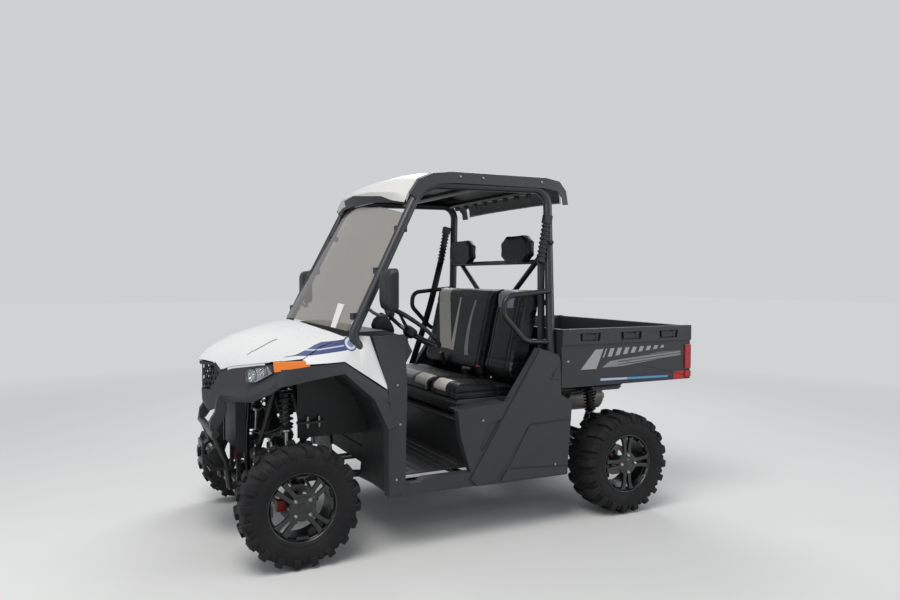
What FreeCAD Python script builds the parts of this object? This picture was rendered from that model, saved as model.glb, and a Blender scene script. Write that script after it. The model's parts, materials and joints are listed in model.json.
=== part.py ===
import FreeCAD, Part
import math
import os
import re
import Sketcher

V = FreeCAD.Vector
ROT = FreeCAD.Rotation
doc = FreeCAD.newDocument("side_by_side_utv")

# Driving sizes, in millimetres and degrees
# x is measured back from the front axle, y to the right of the centre plane, z up from the ground
SIZES = [
    ("wheelbase", 1960), ("track", 1230), ("front_overhang", 385), ("rear_overhang", 515),
    ("tyre_radius", 300), ("lug_height", 16), ("tyre_width_front", 205), ("tyre_width_rear", 250),
    ("rim_radius", 172), ("rim_wall", 7), ("rim_lip", 14),
    ("rim_face_front", 82), ("rim_face_rear", 106), ("rim_plate", 14), ("hub_radius", 52),
    ("disc_radius", 92), ("disc_thick", 5),
    ("disc_back", 74), ("bearing_gap", 0.4), ("spindle_radius", 19), ("kingpin_y", 520),
    ("steer_arm", 100), ("rack_z", 386), ("tie_end_z", 318),
    ("rack_rod_radius", 8), ("rack_tube_radius", 21),
    ("tube_main", 20), ("tube_cage", 25), ("tube_arm", 14), ("tube_bar", 15), ("bumper_tube", 19),
    ("rail_y", 210), ("rail_z", 296), ("sill_y", 610), ("sill_z", 318),
    ("skid_z", 270), ("skid_thick", 5), ("floor_z", 372), ("floor_thick", 8),
    ("roof_z", 1935), ("cage_y", 605), ("pillar_y", 640),
    ("bed_half", 690), ("bed_front_x", 1500), ("bed_floor_z", 775), ("bed_top_z", 1110),
    ("bed_wall", 24), ("bed_floor_thick", 16), ("tailgate_thick", 34), ("tailgate_gap", 12),
    ("bed_pivot_x", 2230), ("bed_pivot_z", 716), ("bed_pin_radius", 11), ("bed_lug", 32),
    ("panel_y", 700), ("panel_thick", 12), ("panel_depth", 46.6), ("skin", 6),
    ("seat_z", 735), ("seat_front_x", 862), ("seat_rear_x", 1270), ("seat_half", 600),
    ("cushion_thick", 84), ("cushion_gap", 0.4),
    ("wheel_steer_radius", 178), ("wheel_steer_tube", 13), ("column_x", 735), ("column_y", 330),
    ("column_z", 1120), ("column_tilt", 52),
    ("hitch_outer", 66), ("hitch_inner", 51), ("hitch_z", 420), ("hitch_pin_radius", 8),
    ("hitch_length", 150),
    ("engine_length", 470), ("engine_width", 360), ("engine_height", 310), ("cross_z", 296),
    ("cross_radius", 15), ("seat_gap", 0.3), ("bushing_radius", 20), ("bushing_length", 50),
    ("bushing_y_low", 188), ("bushing_y_high", 205), ("dash_half", 542),
    ("drum_radius", 30), ("fairlead_width", 150),
]
sheet = doc.addObject("Spreadsheet::Sheet", "Sizes")
for row, (name, value) in enumerate(SIZES, 1):
    sheet.set("A%d" % row, name)
    sheet.set("B%d" % row, str(value))
    sheet.setAlias("B%d" % row, name)
doc.recompute()
NAMES = set(name for name, value in SIZES)


def cells(text):
    """The text with each size's name pointing at its cell."""
    def point(match):
        word = match.group(0)
        return "Sizes." + word if word in NAMES else word
    return re.sub(r"[a-z_]+", point, str(text))


def size(text):
    """The number that a sum of sizes comes to now."""
    return float(sheet.evalExpression(cells(text)))


AXLE = "(front_overhang - (front_overhang + wheelbase + rear_overhang) / 2)"
axle_x = size(AXLE)
final = {}


def place(item, label, x=0, y=0, z=0, turn=None):
    """Gives a sub-part its label and its place, measured from the front axle."""
    item.Label = label
    if turn:
        item.Placement = FreeCAD.Placement(V(0, 0, 0), turn)
    item.setExpression("Placement.Base.x", cells("%s + %s" % (AXLE, x)))
    item.setExpression("Placement.Base.y", cells(y))
    item.setExpression("Placement.Base.z", cells(z))
    final[label] = item
    return item


def group(label, items, x=0, y=0, z=0):
    """Like pieces of one body of the object, kept as separate solids in one sub-part."""
    item = doc.addObject("Part::Compound", "Group_" + label)
    item.Links = items
    return place(item, label, x, y, z)


def shaped(label, shape):
    """A sub-part whose shape is made in the front axle's frame."""
    item = doc.addObject("Part::Feature", label)
    item.Shape = shape
    return place(item, label)


# Sketch and body helpers
def body(name):
    return doc.addObject("PartDesign::Body", "Body_" + name)


def origin_plane(owner, role):
    return [o for o in owner.Origin.OriginFeatures if o.Role == role][0]


def attach(item, owner, role, lift=0):
    item.AttachmentSupport = [(origin_plane(owner, role), "")]
    item.MapMode = "FlatFace"
    item.setExpression("AttachmentOffset.Base.z", cells(lift))
    return item


def outline(owner, name, role, points, lift=0):
    """A sketch of one closed outline; each corner is held by two dimensions from the sheet."""
    sk = owner.newObject("Sketcher::SketchObject", name)
    attach(sk, owner, role, lift)
    spots = [(size(a), size(b)) for a, b in points]
    count = len(spots)
    lines = []
    for i in range(count):
        a, b = spots[i], spots[(i + 1) % count]
        lines.append(Part.LineSegment(V(a[0], a[1], 0), V(b[0], b[1], 0)))
    sk.addGeometry(lines, False)
    sk.addConstraint([Sketcher.Constraint("Coincident", i, 2, (i + 1) % count, 1)
                      for i in range(count)])
    for i, (a, b) in enumerate(points):
        k = sk.addConstraint(Sketcher.Constraint("DistanceX", -1, 1, i, 1, spots[i][0]))
        sk.setExpression("Constraints[%d]" % k, cells(a))
        k = sk.addConstraint(Sketcher.Constraint("DistanceY", -1, 1, i, 1, spots[i][1]))
        sk.setExpression("Constraints[%d]" % k, cells(b))
    return sk


def circle(owner, name, role, u, v, radius, lift=0):
    sk = owner.newObject("Sketcher::SketchObject", name)
    attach(sk, owner, role, lift)
    sk.addGeometry(Part.Circle(V(size(u), size(v), 0), V(0, 0, 1), size(radius)), False)
    k = sk.addConstraint(Sketcher.Constraint("DistanceX", -1, 1, 0, 3, size(u)))
    sk.setExpression("Constraints[%d]" % k, cells(u))
    k = sk.addConstraint(Sketcher.Constraint("DistanceY", -1, 1, 0, 3, size(v)))
    sk.setExpression("Constraints[%d]" % k, cells(v))
    k = sk.addConstraint(Sketcher.Constraint("Radius", 0, size(radius)))
    sk.setExpression("Constraints[%d]" % k, cells(radius))
    return sk


def pad(owner, name, sketch, length, both=False):
    item = owner.newObject("PartDesign::Pad", name)
    item.Profile = sketch
    item.setExpression("Length", cells(length))
    if both:
        item.SideType = "Symmetric"
    return item


def pocket(owner, name, sketch, length=None, back=False):
    item = owner.newObject("PartDesign::Pocket", name)
    item.Profile = sketch
    if length is None:
        item.Type = "ThroughAll"
        item.SideType = "Symmetric"
    else:
        item.setExpression("Length", cells(length))
        item.Reversed = back
    return item


def prism(owner, name, radius, height, lift=0, sides=32, kind="Additive", role="XY_Plane"):
    item = owner.newObject("PartDesign::%sPrism" % kind, name)
    attach(item, owner, role, lift)
    item.Polygon = sides
    item.setExpression("Circumradius", cells(radius))
    item.setExpression("Height", cells(height))
    return item


def polar(owner, name, features, sketch, count):
    item = owner.newObject("PartDesign::PolarPattern", name)
    item.Originals = features
    item.Axis = (sketch, ["N_Axis"])
    item.Angle = 360
    item.Occurrences = count
    owner.Tip = item
    return item


# Shape helpers for bent tubes and folded sheet
def route(points, bends):
    """Straight runs joined by tangent arcs, one radius for each inner corner."""
    spots = [V(*p) for p in points]
    edges = []
    start = spots[0]
    for i, bend in enumerate(bends, 1):
        before = (spots[i - 1] - spots[i]).normalize()
        after = (spots[i + 1] - spots[i]).normalize()
        half = before.getAngle(after) / 2
        a = spots[i] + before * (bend / math.tan(half))
        b = spots[i] + after * (bend / math.tan(half))
        middle = (before + after).normalize()
        centre = spots[i] + middle * (bend / math.sin(half))
        edges.append(Part.LineSegment(start, a).toShape())
        edges.append(Part.Arc(a, centre - middle * bend, b).toShape())
        start = b
    edges.append(Part.LineSegment(start, spots[-1]).toShape())
    return Part.Wire(edges)


def bent(points, bends, radius):
    """A round tube along a route."""
    start = V(*points[0])
    ring = Part.Wire(Part.makeCircle(radius, start, V(*points[1]) - start))
    return route(points, bends).makePipeShell([ring], True, False)


def tube(points, radius, bend=0):
    """A round tube, straight or with one bend radius at every corner."""
    if len(points) == 2:
        a, b = V(*points[0]), V(*points[1])
        return Part.makeCylinder(radius, (b - a).Length, a, b - a)
    return bent(points, [bend] * (len(points) - 2), radius)


def flip(shape):
    """The same shape on the other side of the centre plane."""
    return shape.mirror(V(0, 0, 0), V(0, 1, 0))


def pair(shape):
    return Part.makeCompound([shape, flip(shape)])


def join(shapes):
    return shapes[0].multiFuse(shapes[1:]).removeSplitter()


def face(points):
    return Part.Face(Part.makePolygon([V(*p) for p in points] + [V(*points[0])]))


def plate(points, push):
    """A flat outline pushed out by a vector."""
    return face(points).extrude(V(*push))


def box(x0, x1, y0, y1, z0, z1):
    return Part.makeBox(x1 - x0, y1 - y0, z1 - z0, V(x0, y0, z0))


def mesh_solid(faces):
    """A solid bounded by flat faces."""
    solid = Part.makeSolid(Part.makeShell([face(f) for f in faces]))
    return solid if solid.Volume > 0 else solid.reversed()


def skewed_prism(front, push):
    """A prism on an outline that needn't be flat, made of triangles."""
    back = [tuple(V(*p) + V(*push)) for p in front]
    count = len(front)
    faces = [[front[0], front[k + 1], front[k]] for k in range(1, count - 1)]
    faces += [[back[0], back[k], back[k + 1]] for k in range(1, count - 1)]
    for k in range(count):
        n = (k + 1) % count
        faces.append([front[k], front[n], back[n]])
        faces.append([front[k], back[n], back[k]])
    return mesh_solid(faces)


R = size("tyre_radius")
half_track = size("track / 2")
wheelbase = size("wheelbase")


# Tyres: a carcass with tall shoulder lugs that lean into the tread, left and right rows half a pitch apart
def tyre(width, lugs):
    half = width / 2
    rim = size("rim_radius")
    base = R - size("lug_height")
    step = math.pi / lugs
    taper = 0.16
    # share of the half width, radius, lean in half pitches
    carcass = [(0.86, rim + 1, 0), (0.985, rim + 36, 0), (0.96, base - 38, 0), (0.78, base - 7, 0.15),
               (0.12, base, 0.45)]
    lug_from = 2
    crest = {2: (1.0, R - 46, 0), 3: (0.82, R - 5, 0.15), 4: (0.12, R, 0.45)}
    phase = crest[4][2] - taper
    faces = []

    def spot(side, row, turn):
        share, radius, lean = row
        a = (turn + lean - phase) * step
        return (radius * math.cos(a), side * half * share, radius * math.sin(a))

    def patch(side, corners):
        a, b, c, d = corners if side < 0 else reversed(corners)
        faces.append([a, b, c])
        faces.append([a, c, d])

    for k in range(2 * lugs):
        for side in (-1, 1):
            raised = (k % 2 == 0) == (side > 0)
            for j in range(len(carcass) - 1):
                low = [spot(side, carcass[j + u], k + t) for u, t in ((0, 0), (1, 0), (1, 1), (0, 1))]
                if not raised or j < lug_from:
                    patch(side, low)
                    continue
                top = [spot(side, crest[j + u], k + t)
                       for u, t in ((0, taper), (1, taper), (1, 1 - taper), (0, 1 - taper))]
                patch(side, top)
                patch(side, [low[0], low[1], top[1], top[0]])
                patch(side, [low[3], top[3], top[2], low[2]])
                if j == lug_from:
                    patch(side, [low[0], top[0], top[3], low[3]])
                if j == len(carcass) - 2:
                    patch(side, [low[1], low[2], top[2], top[1]])
        for row in (carcass[-1], carcass[0]):
            band = [spot(-1, row, k), spot(1, row, k), spot(1, row, k + 1), spot(-1, row, k + 1)]
            patch(-1 if row is carcass[-1] else 1, band)
    return mesh_solid(faces)


def hull_strip(rings):
    """A closed solid through rows of four corners, made of triangles."""
    faces = [[rings[0][0], rings[0][1], rings[0][2]], [rings[0][0], rings[0][2], rings[0][3]]]
    last = rings[-1]
    faces += [[last[0], last[2], last[1]], [last[0], last[3], last[2]]]
    for one, two in zip(rings, rings[1:]):
        for j in range(4):
            n = (j + 1) % 4
            faces.append([one[j], two[j], two[n]])
            faces.append([one[j], two[n], one[n]])
    return mesh_solid(faces)


for row, width, x in (("front", "tyre_width_front", 0), ("rear", "tyre_width_rear", wheelbase)):
    shape = tyre(size(width), 20)
    for side, sign in (("left", -1), ("right", 1)):
        item = doc.addObject("Part::Feature", "Tyre_%s_%s" % (row, side))
        item.Shape = shape if side == "left" else flip(shape)
        place(item, "tyre_%s_%s" % (row, side), "0" if row == "front" else "wheelbase",
              "%d * track / 2" % sign, "tyre_radius")


# Rims: a drop-centre barrel with lips and a face of four split spokes; the axis is local Z, outboard
def rim(row, side):
    b = body("rim_%s_%s" % (row, side))
    width = "tyre_width_%s * 0.86" % row
    face_at = "rim_face_%s" % row
    low = "-(%s) / 2" % width
    prism(b, "Barrel", "rim_radius - rim_lip", width, low, 36)
    prism(b, "LipOut", "rim_radius", "rim_plate", "(%s) / 2 - rim_plate" % width, 36)
    prism(b, "LipIn", "rim_radius", "rim_plate", low, 36)
    prism(b, "Hollow", "rim_radius - rim_lip - rim_wall", "(%s) + 2" % width, "%s - 1" % low, 36,
          "Subtractive")
    prism(b, "Face", "rim_radius - rim_lip - rim_wall / 2", "rim_plate", "%s - rim_plate" % face_at, 36)
    doc.recompute()
    start = "(rim_radius - rim_lip - rim_wall - 4)"
    wide = outline(b, "Window", "XY_Plane",
                   [("hub_radius * 0.35", "hub_radius * 1.05"), ("%s * 0.55" % start, "%s * 0.80" % start),
                    ("0", "%s * 0.97" % start), ("-%s * 0.55" % start, "%s * 0.80" % start),
                    ("-hub_radius * 0.35", "hub_radius * 1.05")], face_at)
    cut = pocket(b, "WindowCut", wide, "rim_plate * 2")
    doc.recompute()
    polar(b, "Windows", [cut], wide, 4)
    slot = outline(b, "Slot", "XY_Plane",
                   [("hub_radius * 1.06 + 4", "hub_radius * 1.06 - 4"),
                    ("%s * 0.70" % start, "%s * 0.58" % start),
                    ("%s * 0.58" % start, "%s * 0.70" % start),
                    ("hub_radius * 1.06 - 4", "hub_radius * 1.06 + 4")], face_at)
    cut = pocket(b, "SlotCut", slot, "rim_plate * 2")
    doc.recompute()
    polar(b, "Slots", [cut], slot, 4)
    hub = circle(b, "Centre", "XY_Plane", 0, 0, "hub_radius * 0.42", face_at)
    pocket(b, "CentreCut", hub, "rim_plate * 2")
    doc.recompute()
    turn = ROT(V(1, 0, 0), 90 if side == "left" else -90)
    if row == "front":
        turn = turn.multiply(ROT(V(0, 0, 1), 45))
    sign = -1 if side == "left" else 1
    place(b, "rim_%s_%s" % (row, side), "0" if row == "front" else "wheelbase",
          "%d * track / 2" % sign, "tyre_radius", turn)


# Hubs: the wheel flange with its centre cap, the bearing barrel and the brake disc
def hub(row, side):
    b = body("hub_%s_%s" % (row, side))
    back = "rim_face_%s - rim_plate" % row
    prism(b, "Flange", "hub_radius", "10", "%s - 10" % back, 24)
    prism(b, "Barrel", "spindle_radius + 13", "%s + disc_back - 60" % back, "60 - disc_back", 24)
    prism(b, "Cap", "hub_radius * 0.40", "rim_plate + 10 + 8", "%s - 10" % back, 16)
    prism(b, "Disc", "disc_radius", "disc_thick", "60 - disc_back", 32)
    doc.recompute()
    prism(b, "Bore", "spindle_radius + bearing_gap + 0.4", "%s + disc_back - 60" % back,
          "60 - disc_back - 1", 24, "Subtractive")
    doc.recompute()
    turn = ROT(V(1, 0, 0), 90 if side == "left" else -90)
    sign = -1 if side == "left" else 1
    place(b, "hub_%s_%s" % (row, side), "0" if row == "front" else "wheelbase",
          "%d * track / 2" % sign, "tyre_radius", turn)


for row in ("front", "rear"):
    for side in ("left", "right"):
        rim(row, side)
        hub(row, side)

# Knuckles: a C-shaped yoke between the ball joints, the wheel spindle, the brake caliper
king = size("kingpin_y")
spindle = size("spindle_radius")
arm_tube = size("tube_arm")
yoke_low = R - 78
yoke_high = R + 78


def knuckle(x, row, steered):
    """Left side. The yoke's plate stands outboard of the joint on the kingpin line."""
    plate_y = -(king + 44)
    parts = [box(x - 24, x + 24, plate_y - 14, plate_y, yoke_low - 12, yoke_high + 12)]
    for z in (yoke_low, yoke_high):
        parts.append(box(x - 17, x + 17, plate_y, -(king - 16), z - 9, z + 9))
    end = -(half_track + size("rim_face_%s" % row) - size("rim_plate") - 16)
    parts.append(tube([(x, plate_y - 4, R), (x, end, R)], spindle))
    if steered:
        arm = size("steer_arm")
        top = size("tie_end_z") - 15
        parts.append(box(x + 14, x + arm + 12, plate_y - 12, plate_y, top - 14, top))
        parts.append(box(x + arm - 12, x + arm + 12, plate_y, -(king - 13), top - 14, top))
    disc_y = -(half_track - (size("disc_back") - 60))
    caliper = box(x - 106, x - 62, disc_y - 24, disc_y + 19, R - 26, R + 26)
    slot = box(x - 99, x - 40, disc_y - 11, disc_y + 6, R - 40, R + 40)
    parts.append(caliper.cut(slot))
    parts.append(box(x - 72, x - 20, disc_y + 11, plate_y, R - 20, R + 20))
    return join(parts)


front_knuckle = knuckle(0, "front", True)
shaped("knuckle_left", front_knuckle)
shaped("knuckle_right", flip(front_knuckle))
shaped("rear_knuckles", pair(knuckle(wheelbase, "rear", False)))


bush_r = size("bushing_radius")
bush_long = size("bushing_length")
seat_gap = size("seat_gap")


# Suspension arms: welded tube triangles with a bushing sleeve at each inner end and a ball end outside
def wishbone(x, front, back, inner_y, inner_z, outer_y, outer_z):
    a = (x + front, -inner_y, inner_z)
    b = (x + back, -inner_y, inner_z)
    tip = (x, -outer_y, outer_z)
    mid_a = tuple(p + (q - p) * 0.45 for p, q in zip(tip, a))
    mid_b = tuple(p + (q - p) * 0.45 for p, q in zip(tip, b))
    parts = [tube([a, tip], arm_tube), tube([b, tip], arm_tube), tube([mid_a, mid_b], arm_tube * 0.8)]
    for p in (a, b):
        end = V(p[0] - bush_long / 2, p[1], p[2])
        parts.append(Part.makeCylinder(bush_r, bush_long, end, V(1, 0, 0)))
    parts.append(Part.makeCylinder(19, 31, V(tip[0], tip[1], tip[2] - 15.5)))
    if outer_z < R:
        parts.append(Part.makeCylinder(10, yoke_low - 9 - seat_gap - tip[2], V(*tip)))
    else:
        reach = tip[2] - yoke_high - 9 - seat_gap
        parts.append(Part.makeCylinder(10, reach, V(tip[0], tip[1], tip[2] - reach)))
    return parts[0].multiFuse(parts[1:])


tip_y = king
low_tip = yoke_low - 9 - 24
high_tip = yoke_high + 9 + 18
bush_low = size("bushing_y_low")
bush_high = size("bushing_y_high")
FRONT_LOW = (-115, 150)
FRONT_HIGH = (-95, 150)
REAR_LOW = (-150, 140)
REAR_HIGH = (-130, 120)
LOW_Z = 318
FRONT_HIGH_Z = 470
REAR_HIGH_Z = 455
front_low = wishbone(0, *FRONT_LOW, bush_low, LOW_Z, tip_y, low_tip)
front_high = wishbone(0, *FRONT_HIGH, bush_high, FRONT_HIGH_Z, tip_y, high_tip)
shaped("front_arms", Part.makeCompound([front_low, flip(front_low), front_high, flip(front_high)]))
rear_low = wishbone(wheelbase, *REAR_LOW, bush_low, LOW_Z, tip_y, low_tip)
rear_high = wishbone(wheelbase, *REAR_HIGH, bush_high, REAR_HIGH_Z, tip_y, high_tip)
shaped("rear_arms", Part.makeCompound([rear_low, flip(rear_low), rear_high, flip(rear_high)]))


# Shock absorbers: a body tube, a rod and a coil spring turned as a row of coils
eye = 17


def shock(low, high):
    a, b = V(*low), V(*high)
    length = (b - a).Length
    points = [(0, 0), (0, 10), (length * 0.40, 10), (length * 0.40, 27)]
    coils = 6
    pitch = length * 0.44 / coils
    for k in range(coils):
        y = length * 0.42 + pitch * k
        points += [(y, 38), (y + pitch * 0.5, 38), (y + pitch * 0.55, 29), (y + pitch * 0.95, 29)]
    points += [(length * 0.88, 27), (length * 0.88, 14), (length, 14), (length, 0)]
    spots = [V(r, 0, y) for y, r in points]
    turned = Part.Face(Part.makePolygon(spots + [spots[0]])).revolve(V(0, 0, 0), V(0, 0, 1), 360)
    eyes = [Part.makeCylinder(eye, 2 * eye, V(-eye, 0, z), V(1, 0, 0)) for z in (0, length)]
    whole = join([turned] + eyes)
    whole.Placement = FreeCAD.Placement(a, ROT(V(0, 0, 1), b - a))
    return whole


front_y = tip_y - 0.45 * (tip_y - bush_high)
front_z = high_tip + 0.45 * (FRONT_HIGH_Z - high_tip) + arm_tube * 0.8 + eye + seat_gap
rear_z = high_tip + 0.45 * (REAR_HIGH_Z - high_tip) + arm_tube * 0.8 + eye + seat_gap + 0.6
front_top = (14, -320, 858)
spring_radius = 38
rail_high = size("tube_main") * 1.05
rear_top_y = 290 + rail_high + spring_radius + 4
front_shock = shock((5, -front_y, front_z), front_top)
rear_shock = shock((wheelbase - 2, -front_y, rear_z), (wheelbase - 20, -rear_top_y, 735))
shaped("shocks", Part.makeCompound([front_shock, flip(front_shock), rear_shock, flip(rear_shock)]))

# Main frame: two long rails, cross tubes, sills, and the towers that carry the shocks and the bed
tm = size("tube_main")
ry, rz = size("rail_y"), size("rail_z")
sz = size("sill_z")
pivot_x, pivot_z = size("bed_pivot_x"), size("bed_pivot_z")
cross_z = size("cross_z")
cross_r = size("cross_radius")
case_half = 85
liner_back = 451
web_r = tm * 0.85


def clevis(x, y, z):
    """A welded bracket with two ears for one bushing; y is signed."""
    s = 1 if y > 0 else -1
    near = abs(y) - bush_r - seat_gap
    half = bush_long / 2 + 0.4
    tip = abs(y) + bush_r
    corners = [(-half - 5, near - 20), (half + 5, near - 20), (half + 5, tip), (half, tip), (half, near),
               (-half, near), (-half, tip), (-half - 5, tip)]
    return plate([(x + u, s * v, z - 21) for u, v in corners], (0, 0, 42))


frame = []
for s in (-1, 1):
    frame.append(tube([(-215, s * 140, rz), (330, s * 140, rz), (480, s * ry, rz), (1650, s * ry, rz),
                       (1760, s * 140, rz), (2300, s * 140, rz)], tm, 110))
    frame.append(tube([(455, s * 560, sz), (1495, s * 560, sz)], tm))
    for x in (liner_back + web_r + seat_gap, 950, 1470):
        frame.append(tube([(x, s * (ry - 10), rz - 6), (x, s * 560, sz)], web_r))
    for x, top_x in ((FRONT_HIGH[0], -20), (FRONT_HIGH[1], 50)):
        frame.append(tube([(x, s * 130, rz), (x, s * 158, 490), (x * 0.6 + top_x * 0.4, s * 250, 660),
                           (top_x, s * 270, 868)], 17, 60))
    frame.append(tube([(-20, s * 270, 858), (50, s * 270, 858)], 17))
    for x in REAR_HIGH:
        frame.append(tube([(wheelbase + x, s * 130, rz), (wheelbase + x, s * 158, 475),
                           (wheelbase + x * 0.8, s * 290, 690)], 17, 60))
    frame.append(tube([(1480, s * 290, 690), (2236, s * 290, 690)], rail_high))
    frame.append(tube([(1484, s * 560, sz), (1472, s * 560, 700), (1472, s * 290, 700)], web_r, 60))
    for x in FRONT_LOW:
        frame.append(clevis(x, s * bush_low, LOW_Z))
    for x in FRONT_HIGH:
        frame.append(clevis(x, s * bush_high, FRONT_HIGH_Z))
    for x in REAR_LOW:
        frame.append(clevis(wheelbase + x, s * bush_low, LOW_Z))
    for x in REAR_HIGH:
        frame.append(clevis(wheelbase + x, s * bush_high, REAR_HIGH_Z))
    y0, y1 = sorted((s * 284, s * (rear_top_y - eye - seat_gap)))
    frame.append(box(wheelbase - 45, wheelbase + 5, y0, y1, 730, 752))
    y0, y1 = sorted((s * 284, s * 298))
    frame.append(box(wheelbase - 45, wheelbase + 5, y0, y1, 690, 752))
for x in (-185, 330, 600, 1240, 1560, 1700, 2290):
    reach = 140 if x < 400 or x > 1700 else ry
    frame.append(tube([(x, -reach, cross_z), (x, reach, cross_z)], cross_r))
case_x = wheelbase - 10
for x in (case_x - case_half - cross_r - seat_gap, case_x + case_half + cross_r + seat_gap):
    frame.append(tube([(x, -140, cross_z), (x, 140, cross_z)], cross_r))
top_y = -front_top[1] - eye - seat_gap
frame.append(tube([(front_top[0], -top_y, front_top[2]), (front_top[0], top_y, front_top[2])], 17))
for x in (1490, 2010, 2160):
    frame.append(tube([(x, -295, 690), (x, 295, 690)], 18))
frame.append(tube([(pivot_x, -330, pivot_z), (pivot_x, 330, pivot_z)], size("bed_pin_radius")))
for s in (-1, 1):
    frame.append(box(pivot_x - 26, pivot_x + 26, s * 290 - 6, s * 290 + 6, 680, pivot_z + 16))
frame.append(box(2282, 2302, -70, 70, 300, 455))
skid_top = size("skid_z") + size("skid_thick")
frame.append(box(-190, 420, -150, 150, size("skid_z"), skid_top))
for x in (-150, 390):
    frame.append(box(x, x + 24, -150, 150, size("skid_z"), cross_z))
shaped("chassis_frame", frame[0].multiFuse(frame[1:]))

# Engine, gear cases and exhaust
b = body("engine")
sk = outline(b, "Block", "XZ_Plane",
             [("-engine_length / 2", "0"), ("engine_length / 2", "0"),
              ("engine_length / 2", "engine_height * 0.72"), ("engine_length * 0.22", "engine_height"),
              ("-engine_length * 0.30", "engine_height"), ("-engine_length / 2", "engine_height * 0.6")])
pad(b, "BlockPad", sk, "engine_width", True)
place(b, "engine", "1400", 0, "cross_z + cross_radius + seat_gap")

can = body("muffler_can")
# radius and height about local Y
sk = outline(can, "Section", "XY_Plane",
             [("0", "-190"), ("60", "-190"), ("82", "-165"), ("82", "165"), ("60", "190"), ("24", "190"),
              ("24", "226"), ("0", "226")])
turned = can.newObject("PartDesign::Revolution", "Turned")
turned.Profile = sk
turned.ReferenceAxis = (sk, ["V_Axis"])
turned.Angle = 360
place(can, "muffler_can", "2110", 0, "580", ROT(V(0, 0, 1), -90))
final.pop("muffler_can")
doc.recompute()
hangers = doc.addObject("Part::Feature", "Muffler_hangers")
hangers.Shape = Part.makeCompound([box(x + axle_x - 9, x + axle_x + 9, -40, 40, 650, 672 - seat_gap)
                                   for x in (2010, 2160)])
muffler = doc.addObject("Part::MultiFuse", "Muffler")
muffler.Shapes = [can, hangers]
muffler.Label = "muffler"
final["muffler"] = muffler
cases = []
# place along the frame, width, underside, top and half length of each gear case
for x, wide, low, high, long in ((0, 95, skid_top, 362, 72), (case_x, 110, 262, 392, case_half)):
    cases.append(join([box(x - long, x + long, -wide * 0.62, wide * 0.62, low, high),
                       Part.makeCylinder(42, wide * 1.7, V(x, -wide * 0.85, 340), V(0, 1, 0))]))
shaped("gear_cases", Part.makeCompound(cases))

# Drive shafts: half shafts with their joints, and the long shaft under the floor
shafts = []
for x, inner in ((0, 84), (case_x, 97)):
    line = [tube([(x, -inner, 346), (x, -(king - 6), R)], 13)]
    line.append(Part.makeSphere(34, V(x, -king, R)))
    line.append(Part.makeCone(28, 17, 64, V(x, -inner, 346), V(0, -1, -0.11)))
    line.append(Part.makeCone(17, 31, 60, V(x, -(king - 82), R + 8), V(0, -1, -0.11)))
    half_shaft = join(line)
    shafts += [half_shaft, flip(half_shaft)]
shafts.append(tube([(72.3, 0, 351), (1164.7, 30, 355)], 12))
shaped("drive_shafts", Part.makeCompound(shafts))

# Steering rack, rods, column and wheel
rack_x = size("steer_arm")
rod_z = size("rack_z")
rod_r = size("rack_rod_radius")
gap = size("bearing_gap")
end_z = size("tie_end_z")
rod = [tube([(rack_x, -240, rod_z), (rack_x, 240, rod_z)], rod_r)]
for s in (-1, 1):
    rod.append(Part.makeSphere(rod_r * 1.5, V(rack_x, s * 240, rod_z)))
    rod.append(tube([(rack_x, s * 240, rod_z), (rack_x, s * (king - 8), end_z)], rod_r))
    rod.append(Part.makeCylinder(12, 16, V(rack_x, s * king, end_z - 8)))
shaped("tie_rods", join(rod))
housing = Part.makeCylinder(size("rack_tube_radius"), 330, V(rack_x, -165, rod_z), V(0, 1, 0))
pinion_way = V(0.35, -0.2, 1).normalize()
pinion = Part.makeCylinder(24, 70, V(rack_x + 6, -70, rod_z - 4), pinion_way)
feet = [box(rack_x - 19, rack_x + 19, s * 140 - 14, s * 140 + 14, rz + tm, rod_z) for s in (-1, 1)]
housing = join([housing, pinion] + feet)
housing = housing.cut(Part.makeCylinder(rod_r + gap, 400, V(rack_x, -200, rod_z), V(0, 1, 0)))
shaped("rack_housing", housing)

lean = math.radians(size("column_tilt"))
column_way = V(math.cos(lean), 0, math.sin(lean))
centre = V(size("column_x"), -size("column_y"), size("column_z"))
rim_r = size("wheel_steer_radius")
grip = size("wheel_steer_tube")


def aimed(shape, at):
    return shape.transformed(FreeCAD.Placement(at, ROT(V(0, 0, 1), column_way)).toMatrix(), True)


ring = Part.makeTorus(rim_r, grip)
boss = Part.makeCylinder(34, 46, V(0, 0, -58))
spokes = [ring, boss]
for angle in (90, 210, 330):
    a = math.radians(angle)
    tip = V(math.cos(a) * rim_r, math.sin(a) * rim_r, 0)
    root = V(math.cos(a) * 26, math.sin(a) * 26, -30)
    side = V(-math.sin(a), math.cos(a), 0) * 13
    bar = Part.Face(Part.makePolygon([root - side, root + side, root + side + V(0, 0, 8),
                                      root - side + V(0, 0, 8), root - side]))
    spokes.append(bar.extrude(tip - root))
spokes.append(Part.makeCylinder(15, 60, V(0, 0, -110)))
shaped("steering_wheel", aimed(join(spokes), centre))
foot = V(rack_x + 6, -70, rod_z - 4) + pinion_way * (70 + 13 + seat_gap)
head = centre - column_way * 118
shaft_low = tube([tuple(head - column_way * 140), tuple(foot)], 11)
sleeve = join([Part.makeCylinder(26, 170, head - column_way * 130, column_way), shaft_low,
               Part.makeSphere(13, foot)])
sleeve = sleeve.cut(Part.makeCylinder(15 + gap, 110, head - column_way * 40, column_way))
shaped("steering_column", sleeve)


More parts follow.
